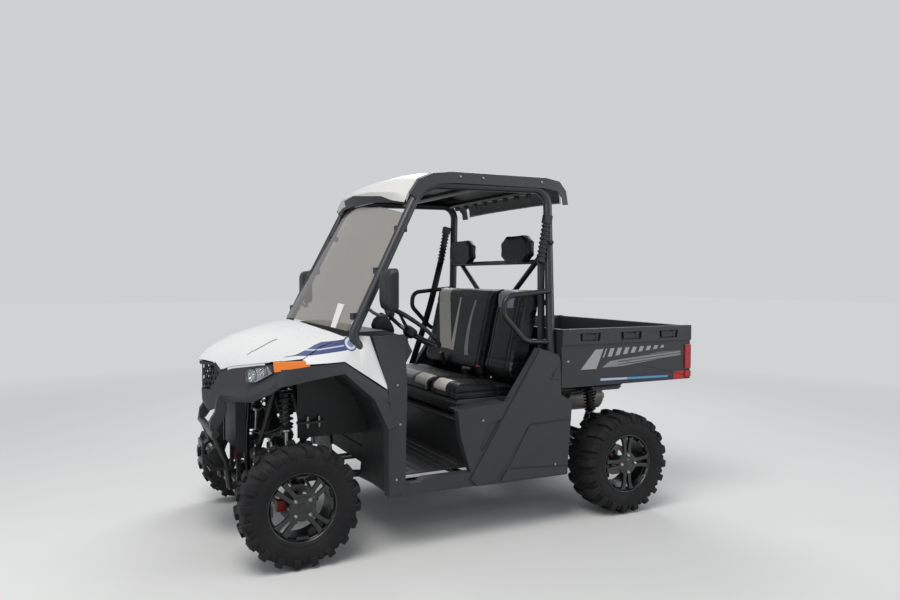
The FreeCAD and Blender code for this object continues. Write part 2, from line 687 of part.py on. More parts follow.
# Cage: one bent hoop each side from the front of the cab over the roof to behind the seats
cage_r = size("tube_cage")
rail_y = size("cage_y") - 20
roof_z = size("roof_z")
rail_top = roof_z - cage_r
pillar_y = size("pillar_y") - 12
hoop_points = [(497, -560, sz + tm + 0.5), (497, -585, 760), (272, -pillar_y, 1112),
               (672, -rail_y, rail_top - 12), (1465, -rail_y, rail_top), (1468, -pillar_y, 960),
               (1470, -572, 724)]
hoop_bends = [110, 70, 190, 90, 120]
hoop = bent(hoop_points, hoop_bends, cage_r)
shaped("cage_hoops", pair(hoop))
brace_r = 19
braces = [tube([(700, -rail_y, rail_top - 24), (700, rail_y, rail_top - 24)], brace_r),
          tube([(1420, -rail_y, rail_top), (1420, rail_y, rail_top)], brace_r),
          tube([(1060, -rail_y, rail_top), (1060, rail_y, rail_top)], brace_r),
          tube([(1467, -pillar_y, 1262), (1467, pillar_y, 1262)], brace_r),
          tube([(1467, -pillar_y, 1610), (1467, -150, 1262)], 16),
          tube([(1467, pillar_y, 1610), (1467, 150, 1262)], 16),
          tube([(1467, -pillar_y + 4, 1500), (1467, pillar_y - 4, 1500)], 15)]
braces = join(braces)
braces = braces.cut(Part.makeCompound([hoop, flip(hoop)]))
shaped("cage_braces", braces)


# Thin shells laid through stations
def shell_strip(stations, push):
    """A sheet through pairs of points; each pair is pushed along one way to give it thickness."""
    way = V(*push)
    rings = []
    for low, high in stations:
        a, b = V(*low), V(*high)
        rings.append([tuple(a), tuple(b), tuple(b + way), tuple(a + way)])
    pieces = []
    for one, two in zip(rings, rings[1:]):
        pieces.append(hull_strip([one, two]))
    return join(pieces) if len(pieces) > 1 else pieces[0]


def shell_rows(stations, push):
    """A sheet through rows with as many points each, pushed along one way or one way for each row."""
    ways = push if isinstance(push, list) else [push] * len(stations)
    rings = []
    for row_points, way in zip(stations, [V(*w) for w in ways]):
        outer = [V(*p) for p in row_points]
        rings.append([tuple(p) for p in outer] + [tuple(p + way) for p in reversed(outer)])
    faces = []
    count = len(rings[0])
    for j in range(1, count // 2):
        n = count - 1 - j
        faces.append([rings[0][j - 1], rings[0][j], rings[0][n]])
        faces.append([rings[0][j - 1], rings[0][n], rings[0][n + 1]])
        faces.append([rings[-1][j], rings[-1][j - 1], rings[-1][n]])
        faces.append([rings[-1][j - 1], rings[-1][n + 1], rings[-1][n]])
    for one, two in zip(rings, rings[1:]):
        for j in range(count):
            n = (j + 1) % count
            faces.append([one[j], two[j], two[n]])
            faces.append([one[j], two[n], one[n]])
    return mesh_solid(faces)


def mirrored_row(points):
    return [(x, -y, z) for x, y, z in reversed(points)] + list(points[1:] if points[0][1] == 0 else points)


skin = size("skin")
# rows from the front lip to the windscreen; each runs from the centre plane to the left edge
hood_half = [
    [(-378, 0, 968), (-340, 60, 964), (-305, 112, 957), (-284, 150, 922), (-248, 235, 945), (-190, 400, 970),
     (-133, 585, 996)],
    [(-330, 0, 1018), (-304, 60, 1014), (-272, 120, 1003), (-254, 158, 985), (-226, 238, 976),
     (-176, 402, 990),
     (-122, 594, 1000)],
    [(-218, 0, 1086), (-200, 70, 1082), (-182, 140, 1068), (-170, 190, 1052), (-150, 262, 1030),
     (-112, 420, 1010), (-66, 630, 1005)],
    [(-90, 0, 1126), (-82, 70, 1123), (-74, 140, 1114), (-66, 215, 1096), (-54, 300, 1072), (-30, 450, 1038),
     (14, 650, 1012)],
    [(40, 0, 1158), (44, 75, 1156), (50, 150, 1148), (60, 240, 1132), (72, 330, 1108), (84, 480, 1078),
     (106, 626, 1064)],
    [(128, 0, 1164), (136, 75, 1163), (146, 150, 1159), (160, 240, 1151), (180, 350, 1140), (208, 480, 1126),
     (238, 600, 1108)],
]
hood = shell_rows([mirrored_row(line) for line in hood_half], (0, 0, -skin))
shaped("hood", hood)

fender_pairs = [((24, -690, 986), (20, -668, 1004)), ((120, -698, 988), (110, -638, 1060)),
                ((211, -700, 992), (238, -608.3, 1108)), ((300, -700, 932), (305, -610, 1110)),
                ((369, -700, 886), (366, -626, 1106)), ((432, -700, 842), (434, -696, 858))]
fender = shell_strip(fender_pairs, (0, skin, 0))
# a flange under the hood's edge carries it
flange = shell_strip([((14, -626, 1010), (20, -664, 1004)), ((103, -600, 1061.5), (109, -635, 1058.5)),
                      ((233, -576, 1106.6), (238, -605, 1103))], (0, 0, -5))
clear_hoop = bent(hoop_points, hoop_bends, cage_r + 1)
flasher = shell_strip([((-122, -652, 952), (-124, -640, 1000)), ((22, -690, 968), (16, -676, 1003)),
                       ((40, -693, 968), (40, -690, 984))], (0, 8, 0))
flange = flange.cut(hood)
fender = fender.cut(clear_hoop).cut(flasher).fuse(flange).cut(clear_hoop)
fender = max(fender.Solids, key=lambda q: q.Volume)
shaped("fenders", Part.makeCompound([fender, flip(fender).cut(hood)]))

# Arch band and the cowl post behind it
band = shell_strip([((-112, -650, 876), (-104, -648, 962)), ((-60, -694, 891), (-58, -690, 966)),
                    ((70, -712, 915), (46, -702, 978)), ((204, -720, 935), (211, -704, 984)),
                    ((359, -720, 797), (428, -704, 834)), ((434, -718, 640), (505, -704, 660))],
                   (0, size("panel_thick") * 0.7, 0))
post = shell_strip([((441, -706, 291), (529, -706, 300)), ((436, -706, 640), (534, -706, 640)),
                    ((440, -706, 830), (540, -706, 838)), ((376, -650, 1104), (549, -650, 1112))],
                   (0, size("panel_thick") * 0.7, 0))
lip = shell_strip([((-60, -700, 891), (-60, -640, 884)), ((70, -710, 915), (70, -640, 908)),
                   ((204, -718, 935), (204, -640, 928)), ((359, -718, 797), (359, -640, 790)),
                   ((434, -716, 640), (434, -640, 636)), ((441, -704, 291), (441, -640, 291))], (6, 0, 3))
side_front = join([band, post, lip])

# Wheel liner: over the tyre and down to the floor
liner = shell_strip([((-40, -634, 893), (-40, -372, 893)), ((204, -634, 925), (204, -372, 925)),
                     ((352, -634, 792), (352, -372, 792)), ((436, -634, 640), (436, -372, 640)),
                     ((446, -634, 302), (446, -250, 302))], (5, 0, 3))
inner_wall = plate([(62, -374, 566), (440.7, -374, 566), (438.5, -374, 641.5), (354.5, -374, 793.5),
                    (206.5, -374, 926.5), (62, -374, 907)], (0, 6, 0))
liner = liner.fuse(inner_wall)
shaped("wheel_liners", pair(liner))

# Fascia under the hood's lip with openings for the grille and the lamps
# columns from the centre plane outwards
# each runs from the hood's lip over the cheek crease to the lower edge
fascia_half = [
    [(-371, 0, 956), (-366, 0, 890), (-362, 0, 815), (-358, 0, 745), (-346, 0, 716)],
    [(-334, 60, 952), (-330, 60, 888), (-340, 60, 805), (-345, 45, 735), (-332, 45, 690)],
    [(-299, 112, 945), (-299, 112, 884), (-318, 105, 790), (-322, 92, 735), (-312, 90, 706)],
    [(-278, 150, 909), (-284, 155, 870), (-286, 172, 822), (-302, 188, 788), (-296, 180, 752)],
    [(-242, 235, 932), (-234, 250, 884), (-238, 250, 842), (-262, 250, 795), (-254, 250, 760)],
    [(-184, 400, 957), (-186, 400, 890), (-184, 400, 864), (-196, 400, 806), (-182, 400, 776)],
    [(-127, 585, 983), (-121, 600, 948), (-121, 600, 932), (-142, 600, 868), (-126, 600, 842)],
    [(-106, 642, 984), (-100, 652, 952), (-100, 652, 942), (-114, 648, 896), (-98, 648, 874)],
]
left = [[(x, -y, z) for x, y, z in r] for r in reversed(fascia_half)]
fascia = shell_rows(left + fascia_half[1:], (9, 0, 0))
mouth = [(-128, 892), (-104, 938), (104, 938), (128, 892), (80, 806), (-80, 806)]
fascia = fascia.cut(plate([(-420, y, z) for y, z in mouth], (240, 0, 0)))
# lens outline on the skin's face, then the same outline further back
lens = [(-211, -392, 940), (-140, -592, 978), (-124, -618, 944), (-176, -474, 884), (-214, -396, 876)]
lamp = skewed_prism(lens, (46, 0, 0))
arm = plate([(-306, -206, 790), (-264, -206, 775), (-262, -206, 706), (-292, -206, 650), (-316, -206, 617.3),
             (-352, -206, 617.3), (-346, -206, 668), (-322, -206, 706), (-316, -206, 760)], (0, 36, 0))
fascia = fascia.cut(lamp).cut(flip(lamp)).cut(flasher).cut(flip(flasher))
fascia = join([fascia, arm, flip(arm)])
shaped("fascia", fascia)
near_front = side_front.cut(fascia).cut(fender).cut(flasher)
far_front = flip(side_front).cut(fascia).cut(flip(fender)).cut(flip(flasher))
shaped("front_side_panels", Part.makeCompound([near_front, far_front]))

# Grille: two plates that meet in a V, each pierced by a honeycomb
grille_turn = math.degrees(math.atan2(-150, 88))
cell = 15.5
pitch_u = 2 * cell * math.cos(math.pi / 6) + 7
pitch_z = pitch_u * math.cos(math.pi / 6)
leaf = plate([(0, 0, 794), (95, 0, 794), (162, 0, 884), (150, 0, 905), (118, 0, 938), (0, 0, 944)],
             (0, 6, 0))
holes = []
for row in range(5):
    z = 807 + pitch_z * row
    reach = min(90 + 0.74 * (z - 794), 142 - 0.97 * (z - 905))
    for col in range(5):
        u = 17 + pitch_u * (col + 0.5 * (row % 2))
        if u + cell < reach:
            ring = [(u + cell * math.sin(math.pi / 3 * k), -2, z + cell * math.cos(math.pi / 3 * k))
                    for k in range(6)]
            holes.append(plate(ring, (0, 10, 0)))
leaf = leaf.cut(Part.makeCompound(holes))
leaf.rotate(V(0, 0, 0), V(0, 0, 1), grille_turn)
leaf.translate(V(-357.5, 0, 0))
grille = leaf.fuse(flip(leaf)).cut(fascia)
grille = max(grille.Solids, key=lambda q: q.Volume)
shaped("grille", grille)

# Lamps and indicators
shaped("headlamps", pair(lamp))
shaped("indicators", pair(flasher))

# Front bumper and winch
br = size("bumper_tube")
bumper_x, bumper_z = -350 + br, 598
bumper = [join([tube([(-241, -140, rz - 6), (-262, -150, 430), (bumper_x, -175, bumper_z)], br * 0.9, 60),
                box(-245, -215.3, -154, -126, rz - 18, rz + 18),
                box(-221, -215.3, -168, -112, rz - 34, rz + 34)])]
bumper.append(flip(bumper[0]))
bumper.append(tube([(bumper_x, -250, bumper_z), (bumper_x, 250, bumper_z)], br))
bumper.append(tube([(-307, -166, 540), (-307, 166, 540)], br * 0.6))
bumper.append(box(-345, -240, -172, 172, 392, 398))
shaped("bumper", join(bumper))
drum = size("drum_radius")
fair = size("fairlead_width") / 2
winch = [Part.makeCylinder(drum, 130, V(-300, -65, 462), V(0, 1, 0)),
         Part.makeCylinder(46, 58, V(-300, 65, 462), V(0, 1, 0)),
         Part.makeCylinder(44, 60, V(-300, -125, 462), V(0, 1, 0)),
         box(-335, -265, -123, 123, 398.3, 420)]
roller = box(-371, -361, -fair, fair, 406, 526)
roller = roller.cut(box(-380, -350, -fair + 22, fair - 22, 440, 492))
winch.append(roller)
winch.append(box(-365, -330, -fair, -fair + 10, 398.3, 460))
winch.append(box(-365, -330, fair - 10, fair, 398.3, 460))
hook = [tube([(-300, 0, 466), (-374, 0, 466)], 5), box(-385, -372, -12, 12, 440, 490)]
shaped("winch", join(winch + hook))

# Radiator with its side tanks, standing on two legs over the frame's front cross tube
core = [box(-212, -172, -165, 165, 486, 816), box(-218, -166, -185, -165, 478, 824),
        box(-218, -166, 165, 185, 478, 824)]
leg_foot = cross_z + cross_r + seat_gap
for y in (-100, 100):
    core.append(box(-197, -177, y - 9, y + 9, leg_foot, 488))
core.append(Part.makeCylinder(20, 22, V(-192, 120, 815), V(0, 0, 1)))
shaped("radiator", join(core))

# Floor, sills and dash
b = body("floor_tray")
sk = outline(b, "Side", "XZ_Plane",
             [("451.3", "floor_z"), ("957", "floor_z"), ("957", "floor_z + floor_thick"),
              ("500", "floor_z + floor_thick"), ("468", "floor_z + 90"), ("451.3", "floor_z + 90")])
pad(b, "Tray", sk, "2 * sill_y + 20", True)
rib = outline(b, "Rib", "XZ_Plane",
              [("540", "floor_z + floor_thick"), ("552", "floor_z + floor_thick"),
               ("552", "floor_z + floor_thick + 5"), ("540", "floor_z + floor_thick + 5")])
rib_pad = pad(b, "RibPad", rib, "2 * sill_y - 60", True)
doc.recompute()
row = b.newObject("PartDesign::LinearPattern", "Ribs")
row.Originals = [rib_pad]
row.Direction = (rib, ["H_Axis"])
row.Length = 350
row.Occurrences = 8
b.Tip = row
doc.recompute()
for name, y in (("Left", "-rail_y"), ("Right", "rail_y")):
    runner = outline(b, "Runner" + name, "XY_Plane",
                     [("540", y + " - 20"), ("930", y + " - 20"), ("930", y + " + 20"),
                      ("540", y + " + 20")],
                     "rail_z + tube_main + seat_gap")
    pad(b, "RunnerPad" + name, runner, "floor_z - rail_z - tube_main - seat_gap + 1")
    doc.recompute()
    foot_y = "sill_y - 46" if name == "Right" else "-(sill_y - 46)"
    hole = outline(b, "PillarHole" + name, "XY_Plane",
                   [("470", foot_y + " - 30"), ("524", foot_y + " - 30"), ("524", foot_y + " + 30"),
                    ("470", foot_y + " + 30")], "floor_z - 2")
    pocket(b, "PillarCut" + name, hole)
    doc.recompute()
place(b, "floor_tray", "0", 0, "0")

sill = plate([(441, -698.6, 292), (938, -698.6, 288), (909.6, -698.6, 366), (640, -698.6, 366),
              (610, -698.6, 350), (560, -698.6, 350), (530, -698.6, 366), (441, -698.6, 371.7)], (0, 58, 0))
sill = sill.cut(side_front)
shaped("sills", pair(sill))

b = body("dash")
sk = outline(b, "Side", "XZ_Plane",
             [("456", "470"), ("500", "470"), ("530", "760"), ("590", "930"), ("640", "1010"),
              ("600", "1090"), ("480", "1128"), ("330", "1122"), ("270", "1060"), ("400", "960"),
              ("456", "700")])
pad(b, "Shell", sk, "2 * dash_half", True)
place(b, "dash_block", "0", 0, "0")
block = final.pop("dash_block")
passage = doc.addObject("Part::Feature", "Column_passage")
around = Part.makeCylinder(26.3, 190, head - column_way * 136, column_way)
around = around.fuse(tube([tuple(head - column_way * 136), tuple(foot)], 15))
around.translate(V(axle_x, 0, 0))
passage.Shape = around
dash = doc.addObject("Part::Cut", "Dash")
dash.Base = block
dash.Tool = passage
dash.Label = "dash"
final["dash"] = dash

# Windscreen, curved forwards at the middle, with clamps to the pillars
screen_half = [[(134, 0, 1172), (526, 0, 1812)], [(176, 300, 1162), (548, 300, 1796)],
               [(254, 596, 1134), (594, 560, 1742)]]
left = [[(x, -y, z) for x, y, z in r] for r in reversed(screen_half)]
screen = shell_rows(left + screen_half[1:], (5, 0, -3))
shaped("windscreen", screen)
clamps = []
for share in (0.12, 0.5, 0.86):
    spot = V(254, -596, 1134) * (1 - share) + V(594, -560, 1742) * share
    clamp = box(spot.x - 14, spot.x + 40, spot.y - 30, spot.y + 20, spot.z - 16, spot.z + 16)
    for block, pillar in ((clamp, hoop), (flip(clamp), flip(hoop))):
        pieces = block.cut(screen).cut(pillar).Solids
        clamps.append(max(pieces, key=lambda q: q.BoundBox.XMax))
shaped("screen_clamps", Part.makeCompound(clamps))

# Roof: a crowned shell with a front visor and a turned-down rear edge, and a moulded rail along each side
rail_face = 622
# lower and upper edge of the side rail, from the visor to the rear
rail_pairs = [((628, 1812), (598, 1842)), ((690, 1872), (648, 1918)), ((760, 1899), (728, 1954)),
              ((860, 1908), (840, 1967)), ((1440, 1912), (1440, 1971)), ((1512, 1900), (1530, 1956)),
              ((1546, 1862), (1576, 1904)), ((1552, 1822), (1590, 1826))]
rail = shell_strip([((x0, -rail_face, z0), (x1, -rail_face + 6, z1)) for (x0, z0), (x1, z1) in rail_pairs],
                   (0, 7, 0))
cap = shell_strip([((x1 + 0.5, -rail_face + 6, z1), (x1 + 10, -rail_face + 60, z1 + 10))
                   for _, (x1, z1) in rail_pairs[:-2]], (3, 0, -7))
rail = rail.fuse(cap).cut(bent(hoop_points, hoop_bends, cage_r + 0.5))
shaped("roof_rails", pair(rail))
# one row for each station: x and z on the centre plane, x, y and z at the side, the push in x and z
roof_table = ((500, 1836, 590, 548, 1800, 9, -12), (494, 1884, 600, 556, 1838, 9, -12),
              (600, 1952, 655, 562, 1922, 6, -12), (700, 1984, 742, 564, 1960, 0, -12),
              (1000, 1986, 1000, 564, 1976, 0, -12), (1440, 1986, 1440, 564, 1980, 0, -12),
              (1540, 1968, 1536, 560, 1962, -4, -12), (1582, 1900, 1578, 556, 1892, -9, -6),
              (1586, 1846, 1582, 556, 1838, -9, -2))
roof_rows = []
for x_mid, z_mid, x_side, y, z_side, _, _ in roof_table:
    span, rise = x_side - x_mid, z_side - z_mid
    line = [(x_mid, 0, z_mid), (x_mid + span * 0.18, y * 0.45, z_mid + rise * 0.12),
            (x_mid + span * 0.62, y * 0.84, z_mid + rise * 0.55), (x_side, y, z_side)]
    roof_rows.append(mirrored_row(line))
roof = shell_rows(roof_rows, [(row[-2], 0, row[-1]) for row in roof_table])
roof = roof.cut(Part.makeCompound([rail, flip(rail), hoop, flip(hoop)]))
shaped("roof", max(roof.Solids, key=lambda q: q.Volume))

# Seats: a base box, two cushions and two backs on it
b = body("seat_base")
sk = outline(b, "Side", "XZ_Plane",
             [("958.3", "floor_z"), ("1140", "floor_z"), ("1150", "seat_z - 60"), ("1330", "seat_z - 60"),
              ("1330", "seat_z - cushion_gap"), ("896", "seat_z - cushion_gap"), ("886", "seat_z - 26"),
              ("985", "seat_z - 34"), ("985", "seat_z - 112"), ("930", "seat_z - 112"),
              ("908", "seat_z - 118"),
              ("912", "seat_z - 134"), ("926", "seat_z - 136")])
pad(b, "Box", sk, "2 * (seat_half - 30)", True)
place(b, "seat_base", "0", 0, "0")

split_y = -250
cushions = []
backs = []
for side, y0, y1 in (("left", -585, split_y - 6), ("right", split_y + 6, 585)):
    b = body("seat_cushion_" + side)
    sk = outline(b, "Side", "XZ_Plane",
                 [("seat_front_x", "seat_z"), ("seat_rear_x", "seat_z"),
                  ("seat_rear_x", "seat_z + cushion_thick * 0.6"),
                  ("seat_rear_x - 40", "seat_z + cushion_thick * 0.72"),
                  ("seat_front_x + 60", "seat_z + cushion_thick"),
                  ("seat_front_x + 14", "seat_z + cushion_thick * 0.9"),
                  ("seat_front_x", "seat_z + cushion_thick * 0.6")])
    pad(b, "Cushion", sk, "%g" % (y1 - y0), True)
    b.Placement = FreeCAD.Placement(V(0, (y0 + y1) / 2, 0), ROT())
    cushions.append(b)
    b = body("seat_back_" + side)
    sk = outline(b, "Side", "XZ_Plane",
                 [("1274", "seat_z"), ("1300", "seat_z"), ("1442", "1290"), ("1430", "1336"),
                  ("1396", "1352"),
                  ("1346", "1340"), ("1330", "1318"), ("1228", "860"),
                  ("1240", "seat_z + cushion_thick + 2"),
                  ("1274", "seat_z + cushion_thick * 0.7")])
    pad(b, "Back", sk, "%g" % (y1 - y0), True)
    b.Placement = FreeCAD.Placement(V(0, (y0 + y1) / 2, 0), ROT())
    backs.append(b)
group("seat_cushions", cushions)
group("seat_backs", backs)

# Headrests: eight-sided pads on the brace behind the seats
rest = [("-168", "-62"), ("-112", "-92"), ("112", "-92"), ("168", "-62"), ("168", "62"), ("112", "92"),
        ("-112", "92"), ("-168", "62")]
pads = []
for side, y in (("left", -330), ("right", 380)):
    b = body("headrest_" + side)
    sk = outline(b, "Eight", "YZ_Plane", rest)
    pad(b, "Rest", sk, "54")
    doc.recompute()
    pads.append(b)
    b.Placement = FreeCAD.Placement(V(0, y, 0), ROT())
group("headrests", pads, "1467 - 16 - seat_gap - 54", 0, "1575")

hip = bent([(1460, -pillar_y, 1330), (1158, -pillar_y, 1300), (1152, -pillar_y, 1200),
(1300, -pillar_y, 1044),
            (1460, -pillar_y, 1036)], [60, 60, 90], size("tube_bar"))
hip = hip.cut(hoop)
shaped("hip_bars", pair(hip))

# Mirrors on their arms
mirror_arm = tube([(428, -748, 1240), (420, -700, 1205), (352, -626, 1250)], 9, 20)
mirror = join([box(388, 446, -822, -672, 1236, 1448), mirror_arm]).cut(hoop)
shaped("mirrors", pair(mirror))

# Side panels: a moulded shell with a raised diagonal and a lower box
b = body("side_panel_left")
edge = [("940", "286"), ("1534", "282"), ("1568", "700"), ("1490", "742"), ("1486", "932"), ("1474", "968"),
        ("1342", "1012"), ("1141", "722"), ("832", "700"), ("850", "560"), ("900", "395")]
sk = outline(b, "Edge", "XZ_Plane", edge)
pad(b, "Shell", sk, "panel_depth")
doc.recompute()
inner_edge = [("952", "298"), ("1523", "294"), ("1554", "692"), ("1478", "734"), ("1474", "926"),
              ("1466", "958"), ("1348", "996"), ("1149", "710"), ("846", "688"), ("862", "562"),
              ("910", "402")]
hollow = outline(b, "Hollow", "XZ_Plane", inner_edge)
pocket(b, "HollowCut", hollow, "panel_depth - panel_thick", True)
doc.recompute()
ridge = outline(b, "Ridge", "XZ_Plane",
                [("908", "328"), ("949", "290"), ("1063", "312"), ("1270", "590"), ("1474", "950"),
                 ("1342", "1002")], "panel_depth - 1")
pad(b, "RidgePad", ridge, "11")
# raised fields: name, proud by, outline
fields = (("Middle", "10", [("1274", "600"), ("1548", "606"), ("1562", "694"), ("1486", "736"),
                            ("1480", "829"), ("1404", "829")]),
          ("Lower", "4", [("1146", "362"), ("1536", "338"), ("1556", "594"), ("1276", "586")]),
          ("Strip", "8", [("1092", "296"), ("1532", "288"), ("1534", "332"), ("1136", "356")]))
for name, proud, spots in fields:
    sk = outline(b, name, "XZ_Plane", spots, "panel_depth - 1")
    pad(b, name + "Pad", sk, proud)
doc.recompute()
# sunk fields: name, depth, outline
sunk = (("Pocket", "7", [("962", "482"), ("1022", "622"), ("1096", "636"), ("984", "470")]),
        ("Hatch", "3", [("1352", "846"), ("1436", "846"), ("1442", "932"), ("1398", "940")]))
for name, depth, spots in sunk:
    sk = outline(b, name, "XZ_Plane", spots, "panel_depth")
    pocket(b, name + "Cut", sk, depth)
    doc.recompute()
ledge_reach = "panel_y - panel_depth - seat_half + 28"
ledge = outline(b, "Ledge", "XZ_Plane", [("848", "688"), ("1120", "688"), ("1136", "721"), ("840", "700")],
                "-(%s)" % ledge_reach)
pad(b, "LedgePad", ledge, ledge_reach + " + 1")
doc.recompute()
b.Placement = FreeCAD.Placement(V(0, size("panel_depth - panel_y"), 0), ROT())
doc.recompute()
other = doc.addObject("Part::Mirroring", "Side_panel_right")
other.Source = b
other.Normal = V(0, 1, 0)
group("side_panels", [b, other])

# Cargo bed: a tub open at the back, with pockets along the top rail and a hinge sleeve under each side
bed_x = "bed_front_x"
rear_x = "wheelbase + rear_overhang"
b = body("bed_tub")
walls = outline(b, "Outside", "XY_Plane",
                [(bed_x, "-bed_half"), (rear_x, "-bed_half"), (rear_x, "bed_half"), (bed_x, "bed_half")],
                "bed_floor_z")
pad(b, "Block", walls, "bed_top_z - bed_floor_z")
doc.recompute()
inside = outline(b, "Inside", "XY_Plane",
                 [(bed_x + " + bed_wall", "-(bed_half - bed_wall)"),
                  (rear_x + " + 10", "-(bed_half - bed_wall)"), (rear_x + " + 10", "bed_half - bed_wall"),
                  (bed_x + " + bed_wall", "bed_half - bed_wall")],
                 "bed_top_z + 1")
pocket(b, "Hollow", inside, "bed_top_z - bed_floor_z - bed_floor_thick + 1")
doc.recompute()
sill_cut = outline(b, "Sill", "XY_Plane",
                   [(rear_x + " - tailgate_thick - tailgate_gap", "-(bed_half - bed_wall)"),
                    (rear_x + " + 10", "-(bed_half - bed_wall)"), (rear_x + " + 10", "bed_half - bed_wall"),
                    (rear_x + " - tailgate_thick - tailgate_gap", "bed_half - bed_wall")], "bed_top_z + 1")
pocket(b, "SillCut", sill_cut, "bed_top_z - bed_floor_z + 2")
doc.recompute()
for name, lift in (("Left", "bed_half - 1"), ("Right", "-bed_half - 10")):
    band_edge = outline(b, "Rail" + name, "XZ_Plane",
                        [(bed_x, "bed_top_z - 92"), (rear_x, "bed_top_z - 92"), (rear_x, "bed_top_z"),
                         (bed_x, "bed_top_z")], lift)
    pad(b, "RailPad" + name, band_edge, "11")
doc.recompute()
for k, (x0, x1) in enumerate(((1626, 1762), (1918, 2070), (2220, 2357))):
    for name, lift in (("Left", "bed_half + 11"), ("Right", "-bed_half + 1")):
        sk = outline(b, "Niche%s%d" % (name, k), "XZ_Plane",
                     [(x0, "bed_top_z - 72"), (x1, "bed_top_z - 72"), (x1 + 8, "bed_top_z - 26"),
                      (x0 - 8, "bed_top_z - 26")], lift)
        pocket(b, "NicheCut%s%d" % (name, k), sk, "12")
    doc.recompute()
for name, y in (("Left", "-250"), ("Right", "250")):
    sk = outline(b, "Lug" + name, "XZ_Plane",
                 [("bed_pivot_x - 44", "bed_floor_z + 2"), ("bed_pivot_x - 24", "bed_pivot_z - 22"),
                  ("bed_pivot_x + 24", "bed_pivot_z - 22"), ("bed_pivot_x + 44", "bed_floor_z + 2")],
                 "%s - bed_lug / 2" % y)
    pad(b, "LugPad" + name, sk, "bed_lug")
doc.recompute()
bore = circle(b, "PivotBore", "XZ_Plane", "bed_pivot_x", "bed_pivot_z", "bed_pin_radius + bearing_gap")
pocket(b, "PivotBoreCut", bore)
doc.recompute()
pin = circle(b, "GateBore", "XZ_Plane", rear_x + " - tailgate_thick / 2", "bed_floor_z + 20", "7.4")
pocket(b, "GateBoreCut", pin)
doc.recompute()
place(b, "bed_tub", "0", 0, "0")

# Tailgate with pins in the side walls, and three pressed fields
b = body("tailgate")
gate_half = "bed_half - bed_wall - 6"
gate = outline(b, "Gate", "YZ_Plane",
               [("-(%s)" % gate_half, "bed_floor_z + 4"), (gate_half, "bed_floor_z + 4"),
                (gate_half, "bed_top_z - 4"), ("-(%s)" % gate_half, "bed_top_z - 4")],
               rear_x + " - tailgate_thick")
pad(b, "Panel", gate, "tailgate_thick")
doc.recompute()
field = outline(b, "Field", "YZ_Plane",
                [("-620", "bed_floor_z + 60"), ("-240", "bed_floor_z + 60"), ("-240", "bed_top_z - 70"),
                 ("-620", "bed_top_z - 70")], rear_x)
cut = pocket(b, "FieldCut", field, "10")
doc.recompute()
row = b.newObject("PartDesign::LinearPattern", "Fields")
row.Originals = [cut]
row.Direction = (field, ["H_Axis"])
row.Length = 860
row.Occurrences = 3
b.Tip = row
doc.recompute()
pin = circle(b, "Pin", "XZ_Plane", rear_x + " - tailgate_thick / 2", "bed_floor_z + 20", "7")
pad(b, "PinPad", pin, "2 * (bed_half - 2)", True)
doc.recompute()
place(b, "tailgate", "0", 0, "0")

lamps = []
rear = size(rear_x)
half = size("bed_half")
for z0, z1 in ((840, 990), (788, 826)):
    lamps.append(box(rear - 46, rear, -half - 9, -half, z0, z1))
shaped("tail_lamps", Part.makeCompound(lamps + [flip(p) for p in lamps]))

# Hitch receiver: a square tube with a cross pin bore
b = body("hitch_receiver")
h = "hitch_outer / 2"
sk = outline(b, "Outer", "YZ_Plane", [("-" + h, "-" + h), (h, "-" + h), (h, h), ("-" + h, h)])
pad(b, "Tube", sk, "hitch_length")
doc.recompute()
h = "hitch_inner / 2"
sk = outline(b, "Inner", "YZ_Plane", [("-" + h, "-" + h), (h, "-" + h), (h, h), ("-" + h, h)])
pocket(b, "Socket", sk)
doc.recompute()
pin = circle(b, "Pin", "XZ_Plane", "hitch_length - 50", 0, "hitch_pin_radius")
pocket(b, "PinBore", pin)
doc.recompute()
place(b, "hitch_receiver", "2302", 0, "hitch_z")

doc.recompute()
bad = [o.Name for o in doc.Objects if "Invalid" in o.State or "Error" in o.State]
for label, item in final.items():
    if item.Shape.isNull() or not item.Shape.isValid():
        bad.append(label)
if bad:
    raise RuntimeError("failed: " + ", ".join(bad))
os.makedirs("parts", exist_ok=True)
for label, item in final.items():
    item.Shape.exportStep("parts/%s.step" % label)
    bb = item.Shape.BoundBox
    ends = (bb.XMin, bb.XMax, bb.YMin, bb.YMax, bb.ZMin, bb.ZMax)
    print("%-20s solids %d faces %4d" % (label, len(item.Shape.Solids), len(item.Shape.Faces)),
          "x %7.1f %7.1f y %7.1f %7.1f z %7.1f %7.1f" % ends)
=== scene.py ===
# %% [markdown]
# # A side by side utility vehicle, dressed for its picture
# The rigid model comes from the CAD program as a fixed frame: every tube, panel and wheel is already in its
# place, in metres, with X to the rear, Y to the vehicle's right and Z up. This lesson gives that frame its
# finishes, swaps the plain solids that need soft or fine shapes for better ones, and sets light and camera.

# %% Load the frame
import json
import math
import bmesh
import bpy
from mathutils import Matrix, Vector


